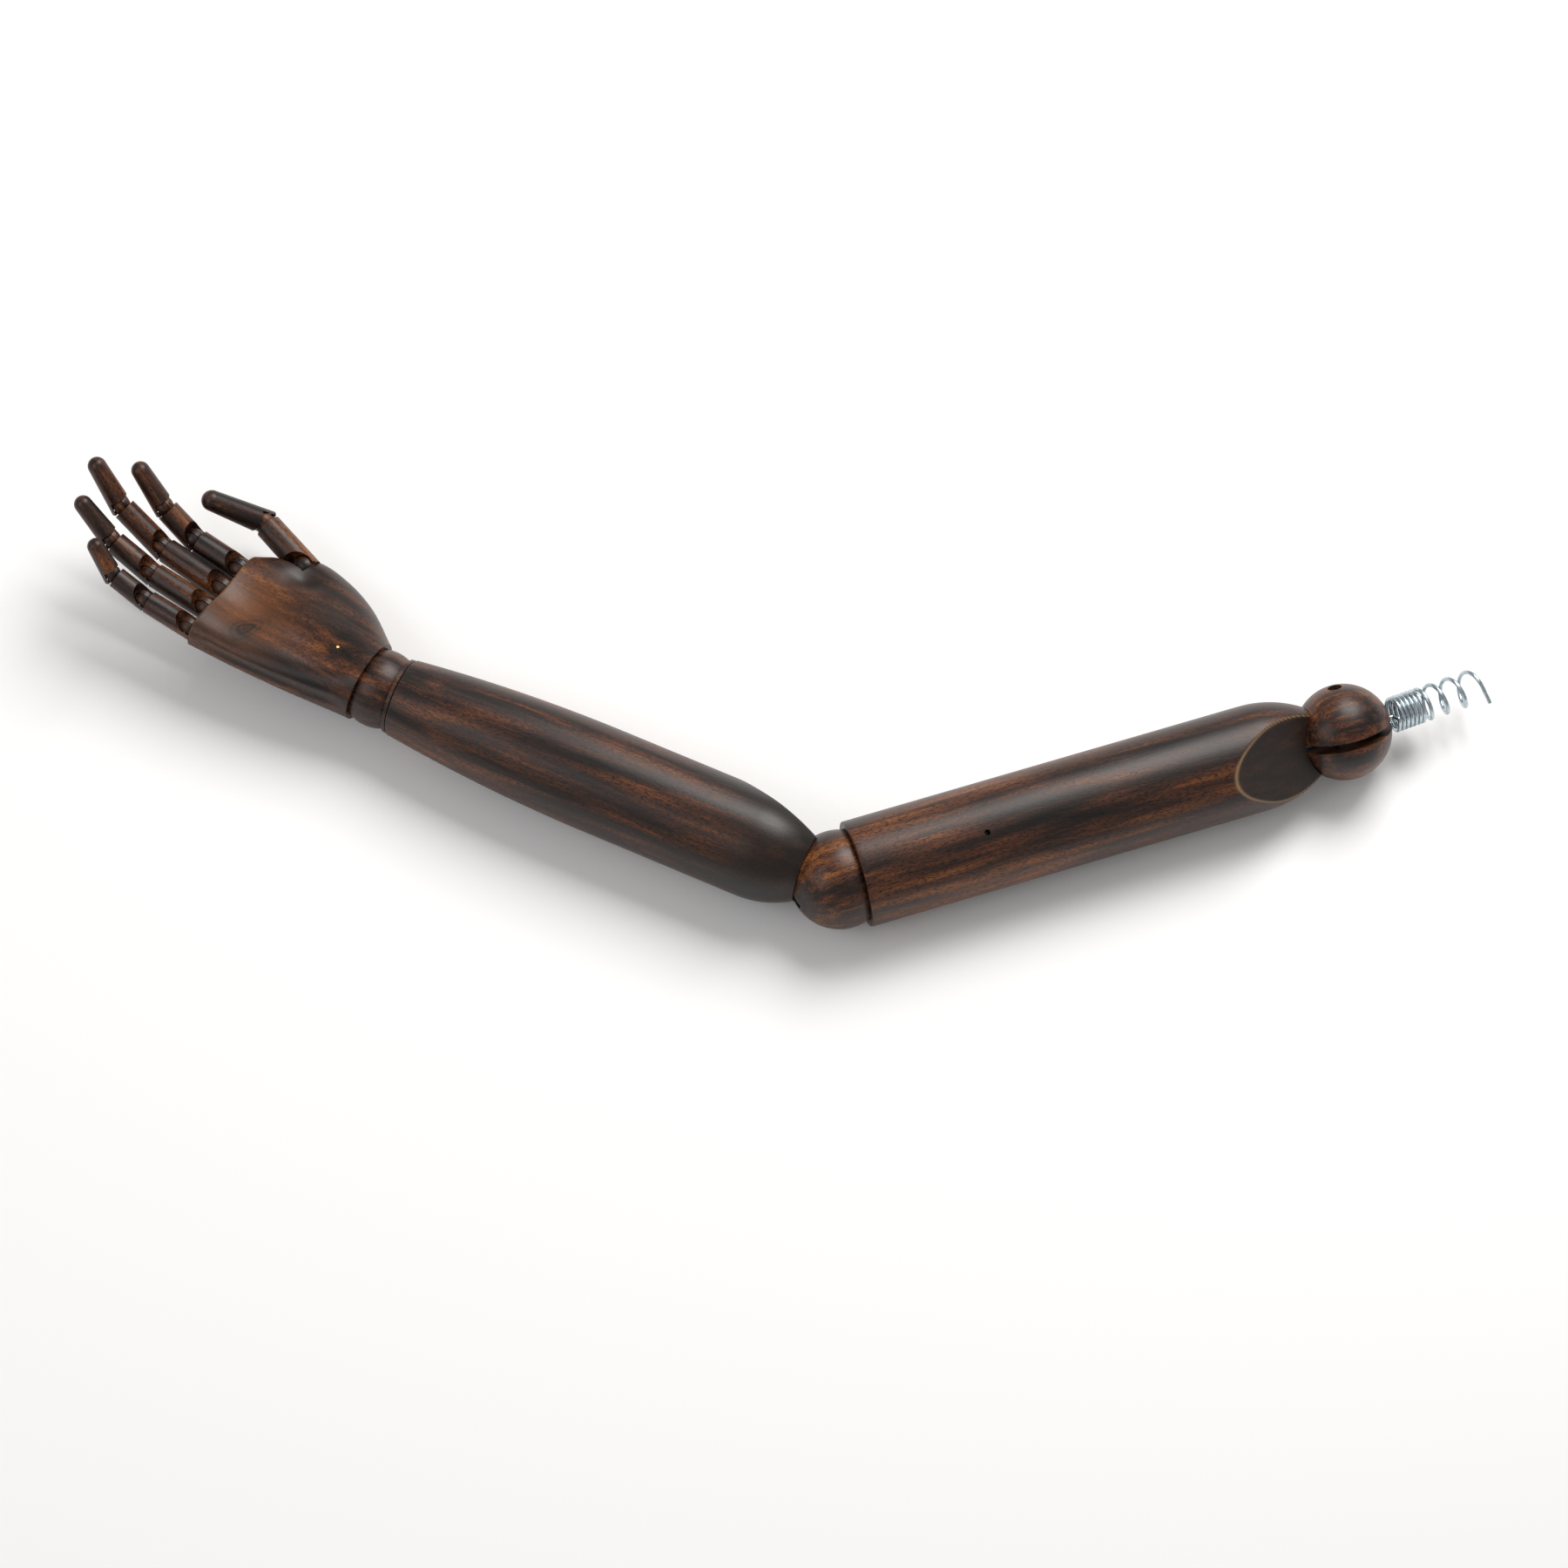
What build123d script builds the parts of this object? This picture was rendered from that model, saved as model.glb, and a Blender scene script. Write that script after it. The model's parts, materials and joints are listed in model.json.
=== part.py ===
"""Right arm of a life-size jointed wooden mannequin, lying palm up with the elbow bent.

Every piece is modelled on its own bench frame, in millimetres, and is then set on the frame of
the joint that carries it. A limb's +Z runs along the limb. In the hand, +X points to the little
finger, +Y out of the palm and +Z to the fingertips.
"""

from build123d import *
from math import atan, cos, degrees, radians, sin, sqrt
import os

# ---------------------------------------------------------------- driving sizes
# upper arm and elbow
upper_arm_length = 290.0  # elbow ball centre to shoulder ball centre
upper_arm_radius = 29.5
elbow_ball_radius = 27.0
elbow_face_gap = 9.5  # elbow ball centre to the square end of the upper arm
shoulder_taper_length = 34.0
shoulder_end_radius = 19.5
shoulder_flat_length = 53.0
shoulder_flat_offset = 8.2  # arm axis to the flat, at the shoulder end

# shoulder
shoulder_ball_radius = 26.5
shoulder_face_gap = 18.6  # shoulder ball centre to the end of the upper arm
shoulder_roll = -47.0  # turn of the shoulder's hinge pin about the arm
shoulder_spring_droop = 8.0
shoulder_coil_radius = 8.9  # to the middle of the wire
shoulder_wire_radius = 1.15
close_turns = 6.5
close_pitch = 2.45
open_turns = 3.5
open_pitch = 10.5

# forearm and wrist
forearm_length = 263.0  # elbow ball centre to the wrist end of the wood
forearm_radius = 29.5
forearm_wrist_radius = 22.0
forearm_belly_start = 50.0  # full girth from here
forearm_belly_end = 140.0  # to here, then it tapers to the wrist
forearm_flat_start = 78.0
forearm_flat_neck = 11.0  # axis to the flat beside the elbow ball
forearm_heel_radius = 20.2
wrist_ball_radius = 22.0
wrist_rim_radius = 21.5
wrist_rim_thickness = 2.0
wrist_pivot_gap = 13.0  # end of the forearm to the wrist ball centre

# hand
palm_length = 96.0
palm_wrist_gap = 8.0  # wrist ball centre to the palm's wrist edge
palm_wrist_radius = 23.2
palm_lean = 5.6  # the carved hand leans to the thumb by this angle
palm_sections = [  # share of the length, thumb edge, little finger edge, thickness, corner
    (0.23, 39.5, 28.0, 40.0, 18.0),
    (0.46, 48.5, 31.5, 35.0, 15.5),
    (0.69, 50.5, 34.0, 30.0, 13.5),
    (1.00, 32.0, 35.5, 26.0, 11.5),
]
knuckle_spacing = 16.9
index_knuckle_x = -22.5
dish_radius = 90.0
dish_depth = 5.0
dish_x = -4.0
dish_face = 17.0  # palm face above the hand's mid-plane, where the dish is deepest
dish_height = 62.0

# fingers: radius at the knuckle, three lengths, three flexions as it lies, lean to the thumb
finger_sizes = {
    "index": (7.4, (31.0, 25.0, 30.0), (5.0, 24.0, 18.0), 1.0),
    "middle": (7.4, (42.0, 33.0, 31.5), (3.0, 22.0, 24.0), 2.5),
    "ring": (7.2, (37.0, 28.5, 30.0), (4.0, 14.0, 21.0), 0.0),
    "little": (6.6, (29.5, 22.5, 24.0), (5.0, 12.0, 36.0), -1.5),
}
finger_step = 0.94  # each finger piece is this much slimmer than the one before
knuckle_seat = 0.52  # knob centre to the parent's face, as a share of the finger radius
knob_share = 0.86
fin_share = 0.93
finger_slot_share = 0.26
slot_end_share = 1.15
scoop_share = 1.30
scoop_lift = 1.10
straight_scoop = 0.62
heel_trim = 0.06
heel_trim_depth = 0.14
tip_share = 0.80
finger_pin_radius = 1.0
pin_inset = 0.4

# thumb
thumb_radius = 7.9
thumb_lengths = (36.0, 39.0)
thumb_base = (-42.3, 5.2, 78.0)
thumb_direction = (-0.281, 0.111, 0.953)
thumb_palmar_angle = 25.0  # from the little finger side towards the palm
thumb_tip_flexion = 48.0
thumb_close = 8.0  # how far the thumb can close beyond where it lies
thumb_room = 0.8

# steel pieces
hinge_slot = 4.8
tongue_thickness = 4.2
hinge_pin_radius = 4.0
tongue_eye_radius = 9.0
spigot_radius = 4.0
bush_radius = 8.5
bush_length = 16.0
nut_length = 6.0
nut_radius = 7.5
inner_spring_length = 20.0
disc_count = 8
disc_thickness = 0.9
disc_rim_clearance = 0.4
bore_end_room = 4.0
dowel_radius = 1.4
dowel_inner = 5.0  # from the limb's axis to the dowel's ends
dowel_outer = 21.0
elbow_dowel_turn = 19.0
shoulder_dowel_turn = 200.0
wrist_dowel_turn = 270.0
pin_cover = 5.5  # wood left beyond the end of a hinge pin
elbow_tongue_width = 16.0
elbow_tongue_length = 62.0
elbow_tongue_dowel_height = 46.0
tongue_dowel_radius = 2.0
link_eye_radius = 8.0
link_width = 7.0
link_thickness = 1.6
elbow_bush_distance = 72.0  # ball centre to the near face of the bush
wrist_bush_distance = 34.0
shoulder_bush_distance = 44.0
wrist_tongue_width = 8.0
wrist_tongue_thickness = 5.0
wrist_tongue_length = 42.0
wrist_eye_radius = 5.0
wrist_pin_radius = 2.0
wrist_slot_reach = 14.0
nail_radius = 0.8
nail_length = 20.0
nail_x = 2.0
nail_height = 29.0
nail_top = 17.0
coil_standoff = 3.5  # ball surface to the spring's first coil
spring_tail = 10.0

# clearances
ball_clearance = 0.4
slot_clearance = 0.3
running_clearance = 0.06
face_clearance = 0.4
bore_clearance = 0.3

# how the arm lies
upper_arm_yaw = 17.7
elbow_flexion = 42.2
wrist_twist = 14.4
wrist_flexion = 4.4

# ---------------------------------------------------------------- joint frames


def limb_plane(yaw):
    """Frame at the elbow with +Z along a limb that lies level and +X straight up."""
    along = (cos(radians(yaw)), sin(radians(yaw)), 0)
    return Plane(origin=(0, 0, upper_arm_radius), x_dir=(0, 0, 1), z_dir=along).location


def bend(angle):
    """Flexion: +Z swings towards +Y, about the hinge along X."""
    return Location((0, 0, 0), (-angle, 0, 0))


frames = {"upper_arm": limb_plane(upper_arm_yaw), "elbow_ball": limb_plane(upper_arm_yaw)}
frames["forearm"] = limb_plane(upper_arm_yaw + 180 - elbow_flexion)
frames["shoulder"] = frames["upper_arm"] * Pos(0, 0, upper_arm_length) * Rot(0, 0, shoulder_roll)
frames["shoulder_spring"] = frames["shoulder"] * bend(-shoulder_spring_droop)
wrist_distance = forearm_length + wrist_pivot_gap
frames["wrist"] = frames["forearm"] * Pos(0, 0, wrist_distance) * Rot(0, 0, wrist_twist - 90)
frames["hand"] = frames["wrist"] * bend(wrist_flexion)
frames["palm"] = frames["hand"] * Rot(0, -palm_lean, 0)


def piece_radii(radius):
    """Radius of each of a finger's three pieces at its joint."""
    return [radius * finger_step**step for step in range(3)]


knuckle_height = palm_wrist_gap + palm_length
knuckles = {}
for number, (finger, (radius, lengths, flexions, lean)) in enumerate(finger_sizes.items()):
    knuckle_x = index_knuckle_x + number * knuckle_spacing
    knuckle = Pos(knuckle_x, 0, knuckle_height + knuckle_seat * radius)
    knuckles[finger] = knuckle * Rot(0, -lean, 0)
    frames[f"{finger}_proximal"] = frames["palm"] * knuckles[finger] * bend(flexions[0])
    frames[f"{finger}_middle"] = frames[f"{finger}_proximal"] * Pos(0, 0, lengths[0]) * bend(flexions[1])
    frames[f"{finger}_distal"] = frames[f"{finger}_middle"] * Pos(0, 0, lengths[1]) * bend(flexions[2])

thumb_along = Vector(*thumb_direction).normalized()
thumb_palmar = Vector(cos(radians(thumb_palmar_angle)), sin(radians(thumb_palmar_angle)), 0)
thumb_seat = Plane(origin=thumb_base, x_dir=thumb_palmar.cross(thumb_along), z_dir=thumb_along).location
frames["thumb_proximal"] = frames["palm"] * thumb_seat
frames["thumb_distal"] = frames["thumb_proximal"] * Pos(0, 0, thumb_lengths[0]) * bend(thumb_tip_flexion)

across = Rot(0, 90, 0)  # turns a primitive's axis from Z to X
about_turn = Rot(0, 180, 0)
no_turn = Location()
nail_place = Pos(nail_x, 0, nail_height) * Rot(-90, 0, 0)
pieces = {}


def keep(name, piece, frame):
    """Set a finished piece on its frame under its own name."""
    pieces[name] = piece.moved(frames[frame])


# ---------------------------------------------------------------- swivels


def radial_hole(start, end, height, turn):
    """Place and length of a hole that runs straight out from a limb's axis."""
    return Rot(0, 0, turn) * Pos((start + end) / 2, 0, height) * across, end - start


def bore_depth(bush_face):
    """How far the bore for a bush, its spring and its nut runs from the ball's centre."""
    return bush_face + bush_length + inner_spring_length + nut_length + bore_end_room


def spigot_end(bush_face):
    """Where the spigot and its nut end."""
    return bush_face + bush_length + inner_spring_length + running_clearance + nut_length


def swivel(prefix, bush_face, dowel_turn, frame, turned):
    """Bush, stack of disc springs, nut and dowel on a spigot: they hold a ball in its cup."""
    spring_start = bush_face + bush_length
    dowel_place, dowel_length = radial_hole(dowel_inner, dowel_outer, bush_face + bush_length / 2, dowel_turn)
    with BuildPart() as bush:
        with Locations((0, 0, bush_face + bush_length / 2)):
            Cylinder(bush_radius, bush_length)
            Cylinder(spigot_radius + running_clearance, bush_length, mode=Mode.SUBTRACT)
        with Locations(dowel_place):
            Cylinder(dowel_radius, dowel_length, mode=Mode.SUBTRACT)
    keep(f"{prefix}_bush", turned * bush.part, frame)

    height = inner_spring_length - 2 * running_clearance
    rise = (height - disc_thickness) / disc_count
    disc_bore_radius = spigot_radius + bore_clearance
    disc_rim_radius = bush_radius - disc_rim_clearance
    corners = []
    for step in range(disc_count + 1):
        edge_radius = disc_bore_radius if step % 2 == 0 else disc_rim_radius
        corners.append((edge_radius, spring_start + running_clearance + step * rise))
    with BuildPart() as discs:
        with BuildSketch(Plane.XZ):
            for (near, low), (far, high) in zip(corners, corners[1:]):
                with BuildLine():
                    top, base = high + disc_thickness, low + disc_thickness
                    Polyline((near, low), (far, high), (far, top), (near, base), (near, low))
                make_face()
        revolve(axis=Axis.Z)
    keep(f"{prefix}_disc_springs", turned * discs.part, frame)

    with BuildPart() as nut:
        with BuildSketch(Plane.XY.offset(spigot_end(bush_face) - nut_length)):
            RegularPolygon(nut_radius, 6)
            Circle(spigot_radius, mode=Mode.SUBTRACT)
        extrude(amount=nut_length)
    keep(f"{prefix}_nut", turned * nut.part, frame)

    with BuildPart() as dowel:
        with Locations(dowel_place):
            Cylinder(dowel_radius, dowel_length)
    keep(f"{prefix}_bush_dowel", turned * dowel.part, frame)


def tongue(eye_radius, pin_radius, width, thickness, length):
    """Flat steel bar with an eye at its origin, in the plane square to the hinge."""
    with BuildPart() as bar:
        with BuildSketch(Plane.YZ.offset(-thickness / 2)):
            Circle(eye_radius)
            with Locations((0, length / 2)):
                Rectangle(width, length)
            Circle(pin_radius + running_clearance, mode=Mode.SUBTRACT)
        extrude(amount=thickness)
    return bar.part


# ---------------------------------------------------------------- upper arm and elbow


def upper_arm():
    """Round limb: cup and bore for the elbow, two flats, cup and bore for the shoulder."""
    far_end = upper_arm_length - shoulder_face_gap
    taper_start = far_end - shoulder_taper_length
    flat_tilt = degrees(atan((upper_arm_radius - shoulder_flat_offset) / shoulder_flat_length))
    with BuildPart() as limb:
        with BuildSketch(Plane.XZ):
            with BuildLine():
                Line((0, elbow_face_gap), (upper_arm_radius, elbow_face_gap))
                Line((upper_arm_radius, elbow_face_gap), (upper_arm_radius, taper_start))
                TangentArc((upper_arm_radius, taper_start), (shoulder_end_radius, far_end), tangent=(0, 1))
                Line((shoulder_end_radius, far_end), (0, far_end))
                Line((0, far_end), (0, elbow_face_gap))
            make_face()
        revolve(axis=Axis.Z)
        for side in (1, -1):
            flat = Rot(0, 0, shoulder_roll) * Pos(0, side * shoulder_flat_offset, far_end)
            with Locations(flat * Rot(side * flat_tilt, 0, 0) * Pos(0, side * upper_arm_radius, 0)):
                Box(3 * upper_arm_radius, 2 * upper_arm_radius, 3 * shoulder_flat_length, mode=Mode.SUBTRACT)
        Sphere(elbow_ball_radius + ball_clearance, mode=Mode.SUBTRACT)
        with Locations((0, 0, bore_depth(elbow_bush_distance) / 2)):
            Cylinder(bush_radius, bore_depth(elbow_bush_distance), mode=Mode.SUBTRACT)
        shoulder_end = Pos(0, 0, upper_arm_length) * Rot(0, 0, shoulder_roll) * about_turn
        with Locations(shoulder_end):
            Sphere(shoulder_ball_radius + ball_clearance, mode=Mode.SUBTRACT)
        with Locations(shoulder_end * Pos(0, 0, bore_depth(shoulder_bush_distance) / 2)):
            Cylinder(bush_radius, bore_depth(shoulder_bush_distance), mode=Mode.SUBTRACT)
        elbow_hole, hole_length = radial_hole(
            dowel_inner, upper_arm_radius + 1, elbow_bush_distance + bush_length / 2, elbow_dowel_turn
        )
        shoulder_hole, hole_length = radial_hole(
            dowel_inner, upper_arm_radius + 1, shoulder_bush_distance + bush_length / 2, shoulder_dowel_turn
        )
        with Locations(elbow_hole, shoulder_end * shoulder_hole):
            Cylinder(dowel_radius, hole_length, mode=Mode.SUBTRACT)
    keep("upper_arm", limb.part, "upper_arm")
    swivel("elbow", elbow_bush_distance, elbow_dowel_turn, "upper_arm", no_turn)
    swivel("shoulder", shoulder_bush_distance, shoulder_dowel_turn, "shoulder", about_turn)


def elbow():
    """Ball with its slot, the spigot that holds it in the upper arm, and the hinge pin."""
    reach = elbow_ball_radius + 1
    wall = tongue_eye_radius + face_clearance
    spigot_start = wall + 3.0
    spigot_length = spigot_end(elbow_bush_distance) - spigot_start
    pin_top = elbow_ball_radius - pin_cover
    with BuildPart() as ball:
        Sphere(elbow_ball_radius)
        with Locations((0, (wall - reach) / 2, (wall - reach) / 2)):
            Box(hinge_slot, wall + reach, wall + reach, mode=Mode.SUBTRACT)
        with Locations(Pos((pin_top - reach) / 2, 0, 0) * across):
            Cylinder(hinge_pin_radius, pin_top + reach, mode=Mode.SUBTRACT)
        with Locations((0, 0, spigot_start + reach / 2)):
            Cylinder(spigot_radius, reach, mode=Mode.SUBTRACT)
    keep("elbow_ball", ball.part, "elbow_ball")

    with BuildPart() as spigot:
        with Locations((0, 0, spigot_start + spigot_length / 2)):
            Cylinder(spigot_radius, spigot_length)
    keep("elbow_spigot", spigot.part, "elbow_ball")

    with BuildPart() as pin:
        with Locations(across):
            Cylinder(hinge_pin_radius, 2 * pin_top)
    keep("elbow_hinge_pin", pin.part, "elbow_ball")

    bar = tongue(tongue_eye_radius, hinge_pin_radius, elbow_tongue_width, tongue_thickness, elbow_tongue_length)
    with BuildPart() as elbow_tongue:
        add(bar)
        with Locations(Pos(0, 0, elbow_tongue_dowel_height) * across):
            Cylinder(tongue_dowel_radius, 2 * tongue_thickness, mode=Mode.SUBTRACT)
    keep("elbow_tongue", elbow_tongue.part, "forearm")


# ---------------------------------------------------------------- forearm and wrist


def forearm():
    """Turned limb with a cupped heel, a flat on its inner side and a bore for the wrist."""
    heel_height = sqrt((elbow_ball_radius + ball_clearance) ** 2 - forearm_heel_radius**2)
    flat_rise = forearm_radius - forearm_flat_neck
    flat_tilt = degrees(atan(flat_rise / (forearm_flat_start - heel_height)))
    dowel_reach = forearm_radius - 1.0
    with BuildPart() as limb:
        with BuildSketch(Plane.XZ):
            with BuildLine():
                Line((0, 0), (forearm_heel_radius, heel_height))
                TangentArc(
                    (forearm_radius, forearm_belly_start), (forearm_heel_radius, heel_height), tangent=(0, -1)
                )
                Line((forearm_radius, forearm_belly_start), (forearm_radius, forearm_belly_end))
                TangentArc(
                    (forearm_radius, forearm_belly_end), (forearm_wrist_radius, forearm_length), tangent=(0, 1)
                )
                Line((forearm_wrist_radius, forearm_length), (0, forearm_length))
                Line((0, forearm_length), (0, 0))
            make_face()
        revolve(axis=Axis.Z)
        with Locations(
            Pos(0, forearm_flat_neck, heel_height) * Rot(-flat_tilt, 0, 0) * Pos(0, forearm_radius, 0)
        ):
            Box(3 * forearm_radius, 2 * forearm_radius, 3 * forearm_flat_start, mode=Mode.SUBTRACT)
        Sphere(elbow_ball_radius + ball_clearance, mode=Mode.SUBTRACT)
        with Locations((0, 0, elbow_tongue_length / 2)):
            Box(tongue_thickness, elbow_tongue_width, elbow_tongue_length, mode=Mode.SUBTRACT)
        with Locations(Pos(-dowel_reach / 2 + tongue_thickness, 0, elbow_tongue_dowel_height) * across):
            Cylinder(tongue_dowel_radius, dowel_reach + 2 * tongue_thickness, mode=Mode.SUBTRACT)
        wrist_end = Pos(0, 0, wrist_distance) * Rot(0, 0, wrist_twist - 90) * about_turn
        wrist_hole, hole_length = radial_hole(
            dowel_inner, forearm_radius + 1, wrist_bush_distance + bush_length / 2, wrist_dowel_turn
        )
        with Locations(wrist_end * Pos(0, 0, bore_depth(wrist_bush_distance) / 2)):
            Cylinder(bush_radius, bore_depth(wrist_bush_distance), mode=Mode.SUBTRACT)
        with Locations(wrist_end * wrist_hole):
            Cylinder(dowel_radius, hole_length, mode=Mode.SUBTRACT)
    keep("forearm", limb.part, "forearm")
    swivel("wrist", wrist_bush_distance, wrist_dowel_turn, "wrist", about_turn)

    with BuildPart() as dowel:
        with Locations(Pos(-dowel_reach / 2 + tongue_thickness, 0, elbow_tongue_dowel_height) * across):
            Cylinder(tongue_dowel_radius, dowel_reach)
    keep("elbow_tongue_dowel", dowel.part, "forearm")


def wrist():
    """Ball with a turned rim, its spigot in the forearm and its hinge pin."""
    rim_base = -wrist_pivot_gap + face_clearance
    ball_base = rim_base + wrist_rim_thickness
    slot_floor = -(wrist_eye_radius + face_clearance)
    spigot_start = slot_floor - 1.0
    spigot_length = spigot_end(wrist_bush_distance) + spigot_start
    pin_span = 2 * wrist_ball_radius - 2 * pin_cover
    with BuildPart() as barrel:
        Sphere(wrist_ball_radius)
        split(bisect_by=Plane.XY.offset(ball_base), keep=Keep.TOP)
        with Locations((0, 0, rim_base + wrist_rim_thickness / 2)):
            Cylinder(wrist_rim_radius, wrist_rim_thickness)
        with Locations((0, 0, (slot_floor + wrist_ball_radius) / 2 + 1)):
            Box(
                wrist_tongue_thickness + 2 * slot_clearance,
                2 * wrist_slot_reach,
                wrist_ball_radius - slot_floor + 2,
                mode=Mode.SUBTRACT,
            )
        with Locations(Pos(-pin_cover, 0, 0) * across):
            Cylinder(wrist_pin_radius, pin_span + 2 * pin_cover, mode=Mode.SUBTRACT)
        with Locations((0, 0, spigot_start - wrist_ball_radius / 2)):
            Cylinder(spigot_radius, wrist_ball_radius, mode=Mode.SUBTRACT)
    keep("wrist_ball", barrel.part, "wrist")

    with BuildPart() as spigot:
        with Locations((0, 0, spigot_start - spigot_length / 2)):
            Cylinder(spigot_radius, spigot_length)
    keep("wrist_spigot", spigot.part, "wrist")

    with BuildPart() as pin:
        with Locations(across):
            Cylinder(wrist_pin_radius, pin_span)
    keep("wrist_hinge_pin", pin.part, "wrist")

    bar = tongue(wrist_eye_radius, wrist_pin_radius, wrist_tongue_width, wrist_tongue_thickness, wrist_tongue_length)
    with BuildPart() as wrist_tongue:
        add(bar)
        with Locations(Rot(0, -palm_lean, 0) * nail_place):
            Cylinder(nail_radius, 2 * wrist_tongue_width, mode=Mode.SUBTRACT)
    keep("wrist_tongue", wrist_tongue.part, "hand")


# ---------------------------------------------------------------- hand


def knob(radius, gap=0.0):
    """Ball knob with a guide fin, turned about the hinge; with a gap it is the room it needs."""
    ball = knob_share * radius + gap
    fin = fin_share * radius + gap
    fin_half = finger_slot_share * radius - slot_clearance + gap
    step = sqrt(ball**2 - fin_half**2)
    with BuildPart() as turned:
        with BuildSketch(Plane.XY):
            with BuildLine():
                Line((-ball, 0), (ball, 0))
                ThreePointArc((ball, 0), (ball * cos(radians(30)), ball * sin(radians(30))), (fin_half, step))
                Polyline((fin_half, step), (fin_half, fin), (-fin_half, fin), (-fin_half, step))
                ThreePointArc((-fin_half, step), (-ball * cos(radians(30)), ball * sin(radians(30))), (-ball, 0))
            make_face()
        revolve(axis=Axis.X)
        if not gap:
            with Locations(across):
                Cylinder(finger_pin_radius + running_clearance, 2 * radius, mode=Mode.SUBTRACT)
    return turned.part


def palm():
    """Carved palm: a loft with a dished face, a thumb seat, four knobs and the wrist cup."""
    with BuildPart() as hand:
        with BuildSketch(Plane.XY.offset(palm_wrist_gap)):
            RectangleRounded(2 * palm_wrist_radius, 2 * palm_wrist_radius, palm_wrist_radius - 0.3)
        for share, thumb_edge, little_edge, thickness, corner in palm_sections:
            with BuildSketch(Plane.XY.offset(palm_wrist_gap + share * palm_length)):
                with Locations(((little_edge - thumb_edge) / 2, 0)):
                    RectangleRounded(little_edge + thumb_edge, thickness, corner)
        loft()
        with Locations((dish_x, dish_face - dish_depth + dish_radius, dish_height)):
            Sphere(dish_radius, mode=Mode.SUBTRACT)
        Sphere(wrist_ball_radius + ball_clearance, mode=Mode.SUBTRACT)
        with Locations(Rot(0, palm_lean, 0) * Pos(0, 0, wrist_tongue_length / 2)):
            Box(wrist_tongue_thickness, wrist_tongue_width, wrist_tongue_length, mode=Mode.SUBTRACT)
        with Locations(nail_place):
            Cylinder(nail_radius, 2 * palm_wrist_radius, mode=Mode.SUBTRACT)
        seat = knuckle_seat * thumb_radius
        room = thumb_radius + thumb_room
        for turn, floor in ((0, -seat), (thumb_close, 0)):
            with Locations(thumb_seat * bend(turn) * Pos(-room, -room, floor + palm_length / 2)):
                Box(4 * room, 4 * room, palm_length, mode=Mode.SUBTRACT)
        with Locations(thumb_seat):
            add(knob(thumb_radius))
        for finger, (radius, lengths, flexions, lean) in finger_sizes.items():
            with Locations(knuckles[finger]):
                add(knob(radius))
    keep("palm", hand.part, "palm")

    with BuildPart() as nail:
        with Locations(nail_place * Pos(0, 0, nail_top - nail_length / 2)):
            Cylinder(nail_radius, nail_length)
    keep("palm_nail", nail.part, "palm")


def finger_piece(name, radius, length, next_radius=None):
    """Tapered piece with a cup, a palm-side scoop and a back slot; a knob or a rounded tip ahead."""
    back = -knuckle_seat * radius + face_clearance
    slot_width = finger_slot_share * 2 * radius
    with BuildPart() as piece:
        with BuildSketch(Plane.XZ):
            with BuildLine():
                if next_radius:
                    front = length - knuckle_seat * next_radius
                    front_radius = (radius + next_radius) / 2
                    Polyline((radius, back), (front_radius, front), (0, front), (0, back), (radius, back))
                else:
                    front_radius = tip_share * radius
                    shoulder = length - front_radius
                    Line((radius, back), (front_radius, shoulder))
                    CenterArc((0, shoulder), front_radius, 0, 90)
                    Polyline((0, length), (0, back), (radius, back))
            make_face()
        revolve(axis=Axis.Z)
        add(knob(radius, bore_clearance), mode=Mode.SUBTRACT)
        with Locations(across):
            Cylinder(finger_pin_radius, 2 * (radius - pin_inset), mode=Mode.SUBTRACT)
        slot_reach = slot_end_share * radius
        with Locations((0, -radius, (slot_reach + back) / 2)):
            Box(slot_width, 2 * radius, slot_reach - back, mode=Mode.SUBTRACT)
        with Locations((0, (1 + heel_trim) * radius, back)):
            Box(2 * radius, 2 * radius, 2 * (heel_trim_depth * radius), mode=Mode.SUBTRACT)
        if next_radius:
            with Locations((0, scoop_lift * radius, 0)):
                Sphere(scoop_share * radius, mode=Mode.SUBTRACT)
            with Locations((0, 0, length)):
                add(knob(next_radius))
        else:
            with Locations((0, (1 + heel_trim) * radius, (straight_scoop * radius + back) / 2)):
                Box(2 * radius, 2 * radius, straight_scoop * radius - back, mode=Mode.SUBTRACT)
    keep(name, piece.part, name)

    with BuildPart() as pin:
        with Locations(across):
            Cylinder(finger_pin_radius, 2 * (radius - pin_inset))
    keep(f"{name}_pin", pin.part, name)


def fingers():
    """Four fingers of three pieces and a thumb of two, each hinged on a knob."""
    for finger, (radius, lengths, flexions, lean) in finger_sizes.items():
        first, second, third = piece_radii(radius)
        finger_piece(f"{finger}_proximal", first, lengths[0], second)
        finger_piece(f"{finger}_middle", second, lengths[1], third)
        finger_piece(f"{finger}_distal", third, lengths[2])
    first, second, third = piece_radii(thumb_radius)
    finger_piece("thumb_proximal", first, thumb_lengths[0], second)
    finger_piece("thumb_distal", second, thumb_lengths[1])


# ---------------------------------------------------------------- shoulder


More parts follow.
